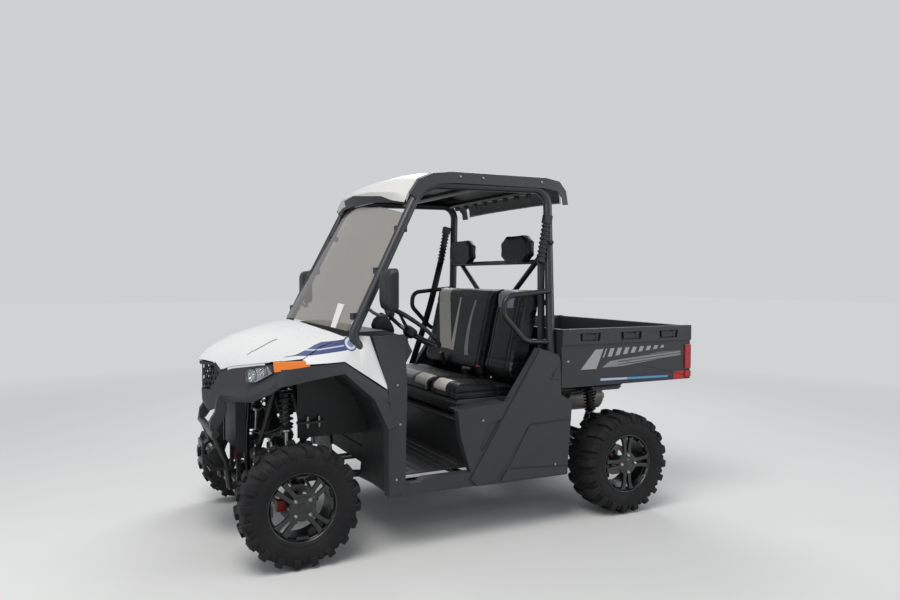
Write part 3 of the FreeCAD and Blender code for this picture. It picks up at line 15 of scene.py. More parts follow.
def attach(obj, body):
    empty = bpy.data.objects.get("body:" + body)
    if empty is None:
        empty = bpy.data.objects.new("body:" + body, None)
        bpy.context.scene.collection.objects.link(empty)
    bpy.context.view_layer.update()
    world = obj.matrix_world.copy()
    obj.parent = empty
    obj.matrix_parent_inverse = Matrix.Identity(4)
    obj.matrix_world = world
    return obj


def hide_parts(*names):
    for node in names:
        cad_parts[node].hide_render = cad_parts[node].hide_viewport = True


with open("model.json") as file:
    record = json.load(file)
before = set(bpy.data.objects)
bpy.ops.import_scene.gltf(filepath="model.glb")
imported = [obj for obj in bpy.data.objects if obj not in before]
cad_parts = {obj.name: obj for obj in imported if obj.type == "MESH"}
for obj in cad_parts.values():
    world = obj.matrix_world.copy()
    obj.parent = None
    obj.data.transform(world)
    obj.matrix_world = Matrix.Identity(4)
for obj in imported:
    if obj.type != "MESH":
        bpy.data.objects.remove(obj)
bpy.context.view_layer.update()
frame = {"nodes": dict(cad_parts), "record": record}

nodes = frame["nodes"]

# %% [markdown]
# ## Camera
# A camera is two things: where it stands, and how wide it sees. The picture was taken standing up, a little
# ahead of the vehicle's left front wheel, four metres off. Yaw turns the camera round the upright, pitch nods
# it, roll tips it sideways. A matrix with those three axes as its columns places it without any constraint.

# %% Camera at the picture's viewing angle
STAND = Vector((-1.9865, -4.1288, 1.4001))
YAW, PITCH, ROLL = math.radians(26.713), math.radians(-1.694), math.radians(0.103)
LENS_MM = 29.447


def camera_axes(yaw, pitch, roll):
    ahead = Vector((math.sin(yaw) * math.cos(pitch), math.cos(yaw) * math.cos(pitch), math.sin(pitch)))
    right = Vector((math.cos(yaw), -math.sin(yaw), 0))
    up = right.cross(ahead)
    tipped = right * math.cos(roll) + up * math.sin(roll)
    return tipped, up * math.cos(roll) - right * math.sin(roll), -ahead


camera_data = bpy.data.cameras.new("viewpoint")
camera_data.lens = LENS_MM
camera_data.sensor_width = 36
camera = bpy.data.objects.new("viewpoint", camera_data)
bpy.context.scene.collection.objects.link(camera)
columns = [axis.to_4d() for axis in camera_axes(YAW, PITCH, ROLL)] + [STAND.to_4d()]
for axis in columns[:3]:
    axis.w = 0
camera.matrix_world = Matrix(columns).transposed()
bpy.context.scene.camera = camera
print("camera stands at", camera.matrix_world.translation[:])

# %% [markdown]
# ## Shader maths as plain expressions
# A material is a small program. Wiring Math nodes by hand hides that, so one class wraps a socket and lets
# Python's own operators add the nodes: `dust * 0.4 + 0.1` makes a multiply and an add. Every other node comes
# from one method, which sets the node's settings first and then its inputs.


# %% A socket that does sums
class Wire:
    def __init__(self, tree, socket=None):
        self.tree = tree
        self.socket = socket

    def node(self, kind, values=None, out=0, **settings):
        made = self.tree.nodes.new("ShaderNode" + kind)
        for name, value in settings.items():
            setattr(made, name, value)
        for name, value in (values or {}).items():
            if isinstance(value, Wire):
                self.tree.links.new(value.socket, made.inputs[name])
            else:
                made.inputs[name].default_value = value
        return Wire(self.tree, made.outputs[out])

    def sum(self, operation, one, two=0.0):
        return self.node("Math", {0: one, 1: two}, operation=operation)

    def __add__(self, other):
        return self.sum("ADD", self, other)

    def __radd__(self, other):
        return self.sum("ADD", other, self)

    def __sub__(self, other):
        return self.sum("SUBTRACT", self, other)

    def __rsub__(self, other):
        return self.sum("SUBTRACT", other, self)

    def __mul__(self, other):
        return self.sum("MULTIPLY", self, other)

    def __rmul__(self, other):
        return self.sum("MULTIPLY", other, self)

    def above(self, level):
        return self.sum("GREATER_THAN", self, level)

    def below(self, level):
        return self.sum("LESS_THAN", self, level)

    def larger(self, other):
        return self.sum("MAXIMUM", self, other)

    def size(self):
        return self.sum("ABSOLUTE", self)

    def root(self):
        return self.sum("SQRT", self)

    def fraction(self):
        return self.sum("FRACT", self)

    def ramp(self, low, high):
        return self.node("MapRange", {0: self, 1: low, 2: high, 3: 0.0, 4: 1.0}, clamp=True)


print("wire class ready")

# %% [markdown]
# ## Colours and the shared recipe
# Paint chips are read in display values, while a shader wants linear light, so one helper converts.
# Real surfaces share three things whatever they are made of: a base colour that drifts a little, a fine
# relief, and dust that has settled low down and on faces that look up. One recipe makes those, and each
# finish below only says how strong they are.


# %% Helpers for every finish
def shade(red, green, blue):
    linear = [((c / 255 + 0.055) / 1.055) ** 2.4 if c > 10 else c / 255 / 12.92 for c in (red, green, blue)]
    return (*linear, 1)


def scaled(colour, by, plus=0.0):
    return (*(min(1, c * by + plus) for c in colour[:3]), 1)


DUST = shade(138, 134, 127)
materials = {}


def start(name):
    material = bpy.data.materials.new(name)
    material.use_nodes = True
    return material, Wire(material.node_tree), material.node_tree.nodes["Principled BSDF"]


def connect(wire, shader, name):
    wire.tree.links.new(wire.socket, shader.inputs[name])


def mix(factor, one, two):
    return factor.node("Mix", {0: factor, 6: one, 7: two}, out=2, data_type="RGBA")


def place_of(wire):
    return wire.node("TexCoord", out=3)


def noise(wire, scale, detail=4.0, rough=0.55, stretch=None):
    spot = place_of(wire)
    if stretch:
        spot = wire.node("Mapping", {0: spot, 3: stretch})
    return wire.node("TexNoise", {"Vector": spot, "Scale": scale, "Detail": detail, "Roughness": rough})


def axis_of(wire, axis):
    return wire.node("SeparateXYZ", {0: place_of(wire)}, out=axis)


def spaces(wire):
    return [axis_of(wire, k) for k in range(3)]


def up_of(wire):
    return wire.node("SeparateXYZ", {0: wire.node("NewGeometry", out=1)}, out=2)


def dust_mask(wire, amount):
    """More on faces that look up and near the ground, broken up by noise."""
    facing = up_of(wire).ramp(0.1, 1.0)
    low = 1 - axis_of(wire, 2).ramp(0.15, 1.1)
    patches = noise(wire, 9.0, 6.0, 0.65).ramp(0.38, 0.72)
    return (facing * 0.6 + low * 0.25) * patches * amount


def relief(wire, height, depth, spacing=0.001):
    return wire.node("Bump", {"Height": height, "Strength": depth, "Distance": spacing})


def finish(name, colour, rough, metal=0.0, drift=0.12, grain=(420.0, 0.25), dust=0.25, coat=0.0, spec=0.5,
           wear=0.0, marks=None):
    """Adds a material to the set; marks gives masks and colours that lie over the base."""
    material, wire, shader = start(name)
    colour = shade(*colour)
    shader.inputs["Metallic"].default_value = metal
    shader.inputs["Coat Weight"].default_value = coat
    shader.inputs["Coat Roughness"].default_value = 0.12
    shader.inputs["Specular IOR Level"].default_value = spec
    broad = noise(wire, 3.1, 3.0).ramp(0.3, 0.7)
    base = mix(broad, scaled(colour, 1 - drift), scaled(colour, 1 + drift * 0.6))
    for mask, patch in (marks(wire) if marks else ()):
        base = mix(mask, base, patch)
    settled = dust_mask(wire, dust)
    if wear:
        scuffs = noise(wire, 34.0, 8.0, 0.75, stretch=(1.0, 3.0, 1.0)).ramp(0.62, 0.70)
        base = mix(scuffs * wear, base, scaled(colour, 2.2, 0.03))
    connect(mix(settled, base, DUST), shader, "Base Color")
    fine = noise(wire, grain[0], 3.0, 0.6)
    spread = noise(wire, 21.0, 5.0, 0.6)
    connect((spread - 0.5) * 0.22 + settled * 0.5 + rough, shader, "Roughness")
    connect(relief(wire, fine, grain[1]), shader, "Normal")
    materials[name] = material


print("helpers ready")

# %% [markdown]
# ## Marks worked out from place
# A decal or a painted part of a casting needs no picture: it is the set of points between some straight
# edges. Each edge gives a yes or no, and their product is the patch. The decals are blank bands and bars.


# %% Patches between straight edges
def band(value, low, high):
    return value.above(low) * value.below(high)


def area(u, v, corners):
    """A patch inside corners that run anticlockwise over u and v."""
    mask = 1.0
    for (u0, v0), (u1, v1) in zip(corners, corners[1:] + corners[:1]):
        mask = (u * (v0 - v1) + v * (u1 - u0)).above(u0 * (v0 - v1) + v0 * (u1 - u0)) * mask
    return mask


def body_decals_and_groove_shade(wire):
    """A blue band with a pale disc on each side, and painted shade in two grooves of the hood."""
    x, y, z = spaces(wire)
    flank = y.size().above(0.572)
    strip = area(x, z, [(-1.180, 1.006), (-0.808, 1.043), (-0.812, 1.095), (-1.152, 1.052)])
    along, over = x + 0.783, z - 1.074
    far = (along * along + over * over).root()
    slope = z - 1.046 - (x + 1.0) * 0.115
    blue = shade(62, 72, 120)
    yield strip * flank, blue
    yield strip * flank * band(slope, -0.004, 0.002), shade(190, 198, 216)
    yield far.below(0.036) * flank, blue
    yield far.below(0.029) * flank, shade(214, 218, 226)
    yield far.below(0.017) * flank, shade(120, 134, 172)
    # the hood's two grooves are grey lines of painted shade on the white
    groove = band(y.size() - 0.30 - (x + 1.15) * 0.06, -0.006, 0.006) * band(x, -1.224, -1.070)
    yield groove, shade(120, 120, 118)


def bed_decals_and_niche_shade(wire):
    """A silver sweep with slanted gaps, a blank blue strip below it, and painted shade in the rail's niches.
    """
    x, y, z = spaces(wire)
    flank = y.size().above(0.6885) * z.above(0.74)
    wedge = area(x, z, [(0.588, 0.873), (0.700, 0.873), (0.752, 0.988), (0.694, 0.986)])
    bars = area(x, z, [(0.745, 0.936), (1.215, 0.978), (1.215, 0.994), (0.770, 0.989)])
    slants = ((x - z * 0.45) * 18.0).fraction()
    sweep = area(x, z, [(0.712, 0.862), (0.890, 0.880), (1.352, 0.884), (1.352, 0.957), (1.190, 0.951),
                        (0.800, 0.914)])
    lines = (z * 62.0 - x * 4.0).fraction()
    yield (wedge + bars * slants.above(0.45)) * flank, shade(176, 176, 174)
    yield sweep * flank, shade(150, 148, 148)
    yield sweep * flank * lines.above(0.62) * x.above(0.86), shade(84, 82, 86)
    low = area(x, z, [(0.682, 0.784), (1.296, 0.774), (1.294, 0.828), (0.696, 0.838)])
    yield low * flank, shade(38, 42, 62)
    bar = area(x, z, [(0.730, 0.802), (1.250, 0.794), (1.249, 0.806), (0.732, 0.815)])
    yield bar * flank, shade(96, 168, 208)
    yield bar * flank * x.below(0.930), shade(206, 210, 218)
    yield band(x, 1.297, 1.386) * band(z, 0.778, 0.826) * flank, shade(196, 40, 40)
    # the rail's three niches are near black: painted shade in the recesses
    niche_shade = band(x, 0.577, 0.722) + band(x, 0.868, 1.030) + band(x, 1.170, 1.317)
    yield niche_shade * band(z, 1.034, 1.088) * y.size().below(0.6985) * y.size().above(0.67), shade(14, 14, 15)


def caliper_marks(wire):
    """The front and the rear calipers are red, the knuckles that carry them are not."""
    x = axis_of(wire, 0)
    yield band(x, -1.160, -1.104) + band(x, 0.800, 0.8545), shade(150, 44, 34)


def roof_marks(wire):
    """Pale above and black below."""
    yield up_of(wire).above(-0.12), shade(214, 213, 209)


def fin_gap_shade(wire):
    """Painted shade: dark gaps between the fins of the radiator's core."""
    _, y, z = spaces(wire)
    rows = (z * 170.0).fraction()
    core = y.size().below(0.163) * band(z, 0.490, 0.812)
    # the dark rows are painted shade between the fins
    yield rows.above(0.55) * core, shade(14, 15, 16)


def belt_marks(wire):
    """The weave of the strap."""
    yield (axis_of(wire, 0) * 900.0).fraction().above(0.5) * 0.5, shade(52, 52, 54)


def dial_marks(wire):
    """A pale ring and a blank window."""
    _, y, z = spaces(wire)
    across, over = y + 0.330, z - 1.150
    yield band(across * across + over * over * 1.34, 0.0016, 0.0023), shade(190, 192, 196)
    yield across.size().below(0.024) * band(z, 1.132, 1.156), shade(120, 148, 150)


print("marks ready")

# %% [markdown]
# ## Finishes
# The vehicle shows four families: glossy white moulded panels, charcoal plastics with a fine leather-like
# grain, powder-coated steel, and rubber or vinyl. The white stays a little grey, so that its facets still
# read under a soft light.

# %% Painted, moulded and coated finishes
finish("white_body", (231, 232, 231), 0.30, drift=0.03, grain=(160.0, 0.04), dust=0.10, coat=0.35,
       marks=body_decals_and_groove_shade)
finish("dark_plastic", (50, 51, 54), 0.52, drift=0.08, grain=(620.0, 0.30), dust=0.16, wear=0.05)
finish("black_plastic", (27, 28, 30), 0.50, drift=0.10, grain=(700.0, 0.35), dust=0.18)
finish("frame_black", (21, 22, 24), 0.42, drift=0.12, grain=(300.0, 0.16), dust=0.16, coat=0.15)
finish("cage_grey", (44, 46, 50), 0.40, drift=0.05, grain=(340.0, 0.12), dust=0.06, coat=0.2)
finish("roof_grey", (58, 59, 60), 0.48, drift=0.06, grain=(520.0, 0.22), dust=0.12)
finish("roof_skin", (27, 27, 28), 0.46, drift=0.05, grain=(520.0, 0.16), dust=0.08, marks=roof_marks)
finish("bed_skin", (45, 46, 48), 0.52, drift=0.08, grain=(620.0, 0.30), dust=0.14, wear=0.05, marks=bed_decals_and_niche_shade)
finish("knuckle_cast", (44, 45, 47), 0.5, metal=0.3, drift=0.2, grain=(120.0, 0.4), dust=0.35,
       marks=caliper_marks)
finish("engine_grey", (70, 71, 72), 0.45, metal=0.6, drift=0.2, grain=(150.0, 0.4), dust=0.45)
finish("cast_parts", (46, 47, 49), 0.50, metal=0.5, drift=0.2, grain=(120.0, 0.4), dust=0.4)
finish("bare_steel", (168, 168, 166), 0.30, metal=1.0, drift=0.15, grain=(240.0, 0.12), dust=0.25)
finish("pipe_steel", (92, 90, 86), 0.42, metal=0.8, drift=0.25, grain=(180.0, 0.2), dust=0.4)
finish("disc_steel", (120, 119, 117), 0.38, metal=0.9, drift=0.2, grain=(300.0, 0.1), dust=0.35)
finish("fins", (50, 51, 53), 0.5, metal=0.5, drift=0.15, grain=(200.0, 0.2), dust=0.3, marks=fin_gap_shade)
finish("rim_black", (17, 18, 20), 0.32, drift=0.1, grain=(300.0, 0.08), dust=0.06, coat=0.4)
finish("tyre", (25, 25, 27), 0.72, drift=0.2, grain=(260.0, 0.45), dust=0.14, spec=0.3)
finish("seat_vinyl", (36, 36, 39), 0.50, drift=0.1, grain=(480.0, 0.5), dust=0.10)
finish("webbing", (24, 24, 26), 0.7, drift=0.1, grain=(900.0, 0.5), dust=0.05, marks=belt_marks)
finish("pull_tab", (150, 164, 186), 0.7, drift=0.1, grain=(900.0, 0.5), dust=0.1)
finish("dial", (18, 19, 22), 0.2, drift=0.1, grain=(300.0, 0.02), dust=0.02, coat=0.5, marks=dial_marks)
finish("mirror_glass", (206, 212, 216), 0.03, metal=1.0, drift=0.02, grain=(60.0, 0.01), dust=0.04)
finish("lamp", (196, 200, 206), 0.14, metal=0.85, drift=0.2, grain=(90.0, 0.1), dust=0.05)
finish("amber", (255, 136, 46), 0.22, drift=0.08, grain=(300.0, 0.1), dust=0.05, coat=0.5)
finish("red_lens", (186, 26, 30), 0.24, drift=0.15, grain=(260.0, 0.15), dust=0.08, coat=0.5)
print("finishes:", sorted(materials))

# %% [markdown]
# ## The windscreen
# A tinted sheet is half see-through, so what stands behind it is only coloured and dimmed. An alpha of about
# a half does that with no refraction, which keeps thin sheets clean and quick. The lamps' covers are clearer.


# %% Tinted windscreen
def screen_finish():
    materials["screen"], wire, shader = start("screen")
    film = noise(wire, 5.0, 6.0, 0.6).ramp(0.35, 0.75)
    _, y, z = spaces(wire)
    # the pale, opaque slanted streak on the near side of the glass is a painted reflection
    strip = area(y, z, [(-0.500, 1.134), (-0.459, 1.134), (-0.407, 1.269), (-0.465, 1.262)])
    tint = mix(film, shade(128, 121, 110), shade(142, 135, 124))
    connect(mix(strip, tint, shade(226, 226, 222)), shader, "Base Color")
    connect(film * 0.05 + 0.06, shader, "Roughness")
    connect((film * 0.05 + 0.50).larger(strip), shader, "Alpha")


def cover_finish():
    """Clear moulding: nearly all light goes through, the rest shines."""
    materials["lamp_cover"], wire, shader = start("lamp_cover")
    shader.inputs["Roughness"].default_value = 0.05
    shader.inputs["Coat Weight"].default_value = 0.6
    haze = noise(wire, 30.0, 4.0).ramp(0.3, 0.8)
    connect(mix(haze, shade(160, 166, 172), shade(196, 200, 204)), shader, "Base Color")
    connect(haze * 0.08 + 0.10, shader, "Alpha")


screen_finish()
cover_finish()
record_slots = [m["slot"] for m in frame["record"]["materials"]]
print("slots without a finish:", [s for s in record_slots if s not in materials])

# %% [markdown]
# ## Dressing the CAD nodes
# Each imported node already names its slot in its own material, so a loop swaps that for the finish of the
# same name. Two modifiers do the rest: a bevel that catches light on edges which would otherwise be knife
# sharp, and weighted normals, so that flat faces stay flat and tubes look round.

# %% Swap the plain materials
SHARP = math.radians(34)
slot_of = {part["node"]: part["material_slot"] for part in frame["record"]["subparts"]}


def round_off(item, width):
    item.data.shade_smooth()
    bevel = item.modifiers.new("edges", "BEVEL")
    bevel.width = width
    bevel.segments = 2
    bevel.limit_method = "ANGLE"
    bevel.angle_limit = SHARP
    bevel.use_clamp_overlap = True
    normals = item.modifiers.new("even", "WEIGHTED_NORMAL")
    normals.keep_sharp = True


# nodes with a finish of their own beside their slot's
SPECIAL = {"roof": "roof_skin", "muffler": "pipe_steel", "radiator": "fins", "bed_tub": "bed_skin",
           "knuckle_left": "knuckle_cast", "knuckle_right": "knuckle_cast", "rear_knuckles": "knuckle_cast"}
for name, item in nodes.items():
    item.data.materials.clear()
    item.data.materials.append(materials[SPECIAL.get(name, slot_of[name])])
print("dressed", len(nodes), "nodes")

# %% [markdown]
# ## Soft edges
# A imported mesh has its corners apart, face by face, so a weld comes first. After it the bevel can see which
# edges are real ones.


# %% Weld, bevel and even out the shading
def dress(item, width):
    weld = item.modifiers.new("weld", "WELD")
    weld.merge_threshold = 0.00002
    round_off(item, width)


# how round the edges of the larger panels are, in metres
PANEL_EDGES = {"hood": 0.004, "fenders": 0.004, "front_side_panels": 0.005, "side_panels": 0.005,
               "roof": 0.006, "bed_tub": 0.003, "tailgate": 0.004, "dash": 0.006, "seat_base": 0.005,
               "floor_tray": 0.003, "fascia": 0.004, "sills": 0.004, "bumper": 0.001, "winch": 0.003,
               "engine": 0.008, "gear_cases": 0.006, "indicators": 0.003,
               "roof_rails": 0.004, "radiator": 0.002}
PLAIN_EDGE = 0.0015
for name, item in nodes.items():
    dress(item, PANEL_EDGES.get(name, PLAIN_EDGE))
print("softened", len(nodes), "nodes")

# %% [markdown]
# ## Growing meshes in code
# Wheels, lamps and levers are too fine for the CAD solids, which stay plain so that they collide quickly. A
# small class gathers points and faces until a whole piece is there. It knows four moves: rows of points
# joined into a skin, an outline turned about an axis, a pipe along a path, and a flat outline stacked into a
# block. One mesh with many parts is lighter for Blender than many objects.


# %% A form that grows until it is a piece
class Form:
    def __init__(self):
        self.points = []
        self.faces = []

    def add(self, points, faces, at=None):
        base = len(self.points)
        self.points += [at @ Vector(p) if at else Vector(p) for p in points]
        self.faces += [[base + i for i in face] for face in faces]

    def rows(self, rings, at=None, joined=False, caps=True):
        """Closed rings of as many points each; joined runs the last ring back into the first."""
        count, total = len(rings[0]), len(rings)
        faces = []
        for k in range(total if joined else total - 1):
            one, two = k * count, (k + 1) % total * count
            for j in range(count):
                n = (j + 1) % count
                faces.append((one + j, one + n, two + n, two + j))
        if caps and not joined:
            faces.append(list(range(count)))
            faces.append([(total - 1) * count + j for j in range(count)])
        self.add([p for ring in rings for p in ring], faces, at)

    def lathe(self, profile, steps, at=None, wave=None):
        """A closed outline of (radius, along) turned about local Z; wave scales the radius by the angle."""
        rings = []
        for k in range(steps):
            turn = math.tau * k / steps
            grow = wave(turn) if wave else 1
            rings.append([(r * grow * math.cos(turn), r * grow * math.sin(turn), z) for r, z in profile])
        self.rows(rings, at, joined=True)

    def dome(self, profile, steps, at=None):
        """An open outline of (radius, along) turned about local Z and closed at both ends."""
        rings = [[(r * math.cos(math.tau * k / steps), r * math.sin(math.tau * k / steps), z)
                  for k in range(steps)] for r, z in profile]
        self.rows(rings, at)

    def pipe(self, path, radius, sides=10, at=None, flat=1.0):
        spots = [Vector(p) for p in path]
        rings = []
        side = None
        for k, spot in enumerate(spots):
            ahead = (spots[min(k + 1, len(spots) - 1)] - spots[max(k - 1, 0)]).normalized()
            if side is None:
                side = ahead.orthogonal().normalized()
            side = (side - ahead * side.dot(ahead)).normalized()
            over = ahead.cross(side)
            rings.append([spot + side * (radius * math.cos(math.tau * j / sides))
                          + over * (radius * flat * math.sin(math.tau * j / sides)) for j in range(sides)])
        self.rows(rings, at)

    def stack(self, outline, levels, at=None):
        """A flat outline at each (height, scale), joined into one block."""
        self.rows([[(u * scale, v * scale, z) for u, v in outline] for z, scale in levels], at)

    def slab(self, outline, low, high, at=None):
        self.stack(outline, ((low, 1), (high, 1)), at)

    def piece(self, name, slot_name, edge=0.0, body="chassis", replaced=(), finish_name=None):
        mesh = bpy.data.meshes.new(name)
        mesh.from_pydata(self.points, [], self.faces)
        grown = bmesh.new()
        grown.from_mesh(mesh)
        bmesh.ops.recalc_face_normals(grown, faces=grown.faces)
        grown.to_mesh(mesh)
        grown.free()
        mesh.materials.append(materials[finish_name or slot_name])
        item = bpy.data.objects.new(name, mesh)
        bpy.context.scene.collection.objects.link(item)
        if edge:
            round_off(item, edge)
        else:
            mesh.shade_smooth()
        if replaced:
            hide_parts(*replaced)
        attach(item, body)
        return item


def aimed(spot, way):
    """Stands local Z along a direction."""
    return Matrix.Translation(spot) @ Vector(way).to_track_quat("Z", "Y").to_matrix().to_4x4()


def face(spot, across, up, out):
    """Local X and Y run along a face and local Z runs out of it."""
    place = Matrix((across, up, out)).transposed().to_4x4()
    place.translation = spot
    return place


X, Y, Z = Vector((1, 0, 0)), Vector((0, 1, 0)), Vector((0, 0, 1))
print("form ready")

# %% [markdown]
# ## Wheels
# A mud tyre is a smooth bag of rubber with tall lugs moulded on it. The carcass is one outline turned about
# the axle, with a bead, a scuff ring and a bulging sidewall. Each lug is a short row of four-cornered rings
# that starts low on the shoulder, climbs over it and leans along the tread. Left and right rows sit half a
# pitch apart, which is what makes such a tyre look woven. A bevel rounds the moulded edges.

# %% Where the wheels are
AXLE_X = {"front": -1.045, "rear": 0.915}
AXLE_Y, AXLE_Z = 0.615, 0.300
FACE = {"front": 0.082, "rear": 0.106}
HALF = {"front": 0.1025, "rear": 0.125}
FIRST_SPOKE = {"front": 45, "rear": 0}
LUGS = 20
SIGNS = (-1, 1)
SIDES = (("_left", -1), ("_right", 1))
CORNERS = [(row + side_name, row, sign) for row in AXLE_X for side_name, sign in SIDES]


def wheel_frame(row, sign):
    """Local Z points away from the vehicle, local X to the rear; the right wheel mirrors the left one."""
    return Matrix(((1, 0, 0, AXLE_X[row]), (0, 0, sign, sign * AXLE_Y), (0, 1, 0, AXLE_Z), (0, 0, 0, 1)))


print("wheels at", AXLE_X, "half track", AXLE_Y)

# %% The tyre's carcass and lugs
# outline of the carcass: radius, share of the half width
CARCASS = [(0.166, 0.80), (0.172, 0.87), (0.177, 0.91), (0.184, 0.925), (0.188, 0.915), (0.192, 0.935),
           (0.200, 0.965), (0.214, 0.985), (0.230, 0.984), (0.233, 0.972), (0.240, 0.968), (0.252, 0.942),
           (0.264, 0.895), (0.273, 0.82), (0.279, 0.70), (0.2825, 0.45), (0.284, 0.15)]
# rings of a lug: share and radius of its crest, share and radius of its foot, lean in half pitches
LUG = [(0.995, 0.248, 0.93, 0.240, 0.0), (1.0, 0.262, 0.90, 0.250, 0.02), (0.975, 0.278, 0.85, 0.262, 0.06),
       (0.90, 0.2915, 0.78, 0.270, 0.11), (0.80, 0.2958, 0.72, 0.274, 0.16),
       (0.50, 0.2985, 0.48, 0.278, 0.29), (0.16, 0.2999, 0.16, 0.280, 0.44)]
# rings of the low bar between two lugs
BAR = [(0.975, 0.240, 0.93, 0.236, 0.0), (0.972, 0.254, 0.90, 0.246, 0.0), (0.93, 0.268, 0.84, 0.258, 0.02),
       (0.84, 0.277, 0.76, 0.268, 0.06)]


def lug_rings(stations, half, side, start, near, far):
    step = math.pi / LUGS
    rings = []
    for share, crest, foot_share, foot, lean in stations:
        spread = 0.05 if share < 0.3 else 0.0
        ring = []
        for radius, width, turn in ((crest, share, near + spread), (crest, share, far - spread),
                                    (foot, foot_share, far + 0.05), (foot, foot_share, near - 0.05)):
            angle = (start + turn + lean - 0.29) * step
            ring.append((radius * math.cos(angle), radius * math.sin(angle), side * half * width))
        rings.append(ring)
    return rings


def tyre(corner, row, sign):
    half = HALF[row]
    at = wheel_frame(row, sign)
    outline = [(r, half * w) for r, w in CARCASS]
    outline += [(r, -half * w) for r, w in reversed(CARCASS)]
    form = Form()
    form.lathe(outline, 120, at)
    for k in range(2 * LUGS):
        for side in SIGNS:
            if (k % 2 == 0) == (side < 0):
                form.rows(lug_rings(LUG, half, side, k, 0.12, 0.88), at)
            else:
                form.rows(lug_rings(BAR, half, side, k, 0.30, 0.70), at)
    return form.piece("rubber_" + corner, "tyre", 0.0022, "wheel_" + corner, ["tyre_" + corner])


for corner in CORNERS:
    item = tyre(*corner)
print("tyres:", len(CORNERS), "with", len(item.data.polygons), "faces each before the bevel")

# %% [markdown]
# ## Rims, brake discs and nuts
# The rim is a turned drop-centre barrel that closes behind four split spokes. Every spoke is two slim arms
# that part towards the barrel, each a skin through rings that widen and sink a little. Front rims stand with
# their spokes on the diagonals and rear ones upright. The brake disc shows between the arms: a thin ring with
# a scalloped edge, which is a turned outline whose radius waves with the angle.


# %% Rims
def arm_ring(radius, across, width, top, depth, turn):
    """A rounded oblong across the arm at one radius."""
    ring = []
    for u, v in ((-1, -0.3), (-0.75, 0), (0.75, 0), (1, -0.3), (1, -1), (-1, -1)):
        x, y = radius, across + u * width
        ring.append((x * math.cos(turn) - y * math.sin(turn), x * math.sin(turn) + y * math.cos(turn),
                     top + v * depth))
    return ring


def spoke_turns(row):
    return [math.radians(FIRST_SPOKE[row] + 90 * k) for k in range(4)]


def rim(corner, row, sign):
    half, front = HALF[row] * 0.86, FACE[row]
    at = wheel_frame(row, sign)
    form = Form()
    form.lathe([(0.172, half - 0.003), (0.1705, half), (0.167, half + 0.0005), (0.1625, half - 0.003),
                (0.1590, half - 0.011), (0.1565, half - 0.013), (0.1545, half - 0.026), (0.150, half - 0.032),
                (0.148, -half + 0.03), (0.155, -half + 0.012), (0.164, -half + 0.004), (0.172, -half),
                (0.172, -half + 0.006), (0.161, -half + 0.014), (0.157, -half + 0.03), (0.154, 0),
                (0.160, half - 0.02), (0.164, half - 0.010), (0.172, half - 0.009)], 96, at)
    form.lathe([(0.018, front), (0.046, front), (0.060, front - 0.001), (0.066, front - 0.005),
                (0.064, front - 0.016), (0.018, front - 0.016)], 48, at)
    form.dome([(0.001, front + 0.004), (0.020, front + 0.004), (0.027, front + 0.002), (0.031, front - 0.001),
               (0.031, front - 0.006), (0.001, front - 0.006)], 28, at)
    for turn in spoke_turns(row):
        for way in SIGNS:
            form.rows([arm_ring(0.050, way * 0.0150, 0.0150, front - 0.001, 0.013, turn),
                       arm_ring(0.080, way * 0.0165, 0.0115, front - 0.003, 0.014, turn),
                       arm_ring(0.115, way * 0.0200, 0.0115, front - 0.003, 0.016, turn),
                       arm_ring(0.140, way * 0.0250, 0.0140, front, 0.018, turn),
                       arm_ring(0.153, way * 0.0300, 0.0190, front + 0.001, 0.020, turn)], at)
        middle = turn + math.pi / 4
        form.rows([arm_ring(0.140, 0, 0.026, front - 0.004, 0.010, middle),
                   arm_ring(0.153, 0, 0.032, front - 0.002, 0.014, middle)], at)
    stem = (0.128 * math.cos(0.42), 0.128 * math.sin(0.42))
    form.pipe([(*stem, front - 0.03), (*stem, front - 0.012), (*stem, front + 0.004)], 0.004, 8, at)
    form.piece("wheel_rim_" + corner, "rim_black", 0.0014, "wheel_" + corner, ["rim_" + corner])


def nuts(corner, row, sign):
    form = Form()
    at = wheel_frame(row, sign)
    for turn in spoke_turns(row):
        spot = Matrix.Translation((0.050 * math.cos(turn), 0.050 * math.sin(turn), FACE[row]))
        form.dome([(0.0108, -0.004), (0.0108, 0.006), (0.0090, 0.008)], 6, at @ spot)
        form.dome([(0.0082, 0.006), (0.0078, 0.011), (0.0050, 0.0145), (0.0015, 0.0155)], 12, at @ spot)
    form.piece("wheel_nuts_" + corner, "bare_steel", 0.0006, "wheel_" + corner)


def scallop(turn):
    return 1 + 0.018 * math.cos(turn * 14)


def disc(corner, row, sign):
    form = Form()
    at = wheel_frame(row, sign)
    form.lathe([(0.092, -0.0140), (0.092, -0.0090), (0.060, -0.0090), (0.060, -0.0140)], 168, at, scallop)
    for k in range(6):
        turn = math.radians(60 * k + 15)
        form.rows([arm_ring(radius, 0, wide, -0.0095, 0.004, turn)
                   for radius, wide in ((0.030, 0.012), (0.062, 0.007))], at)
    back = FACE[row] - 0.016
    form.lathe([(0.0196, -0.014), (0.032, -0.014), (0.032, back - 0.012), (0.052, back - 0.008),
                (0.052, back - 0.0005), (0.0196, back - 0.0005)], 40, at)
    form.piece("brake_disc_" + corner, "bare_steel", 0.0006, "wheel_" + corner, ["hub_" + corner],
               "disc_steel")


for corner in CORNERS:
    rim(*corner)
    nuts(*corner)
    disc(*corner)
print("rims, nuts and discs on", len(CORNERS), "wheels")

# %% [markdown]
# ## Coil shocks
# The CAD keeps each spring as a ribbed sleeve. Here the wire itself winds round the body: a pipe along a
# helix that runs from one spring seat to the other. The lower rod and its collar are bright metal.


# %% Springs and dampers
# low eye and high eye of the left shocks
SHOCKS = {"front": ((-1.040, -0.37825, 0.46275), (-1.031, -0.320, 0.858)),
          "rear": ((0.913, -0.37825, 0.4566), (0.895, -0.353, 0.735))}


def along(low, high, sign):
    low, high = (Vector((x, -sign * y, z)) for x, y, z in (low, high))
    return aimed(low, high - low), (high - low).length


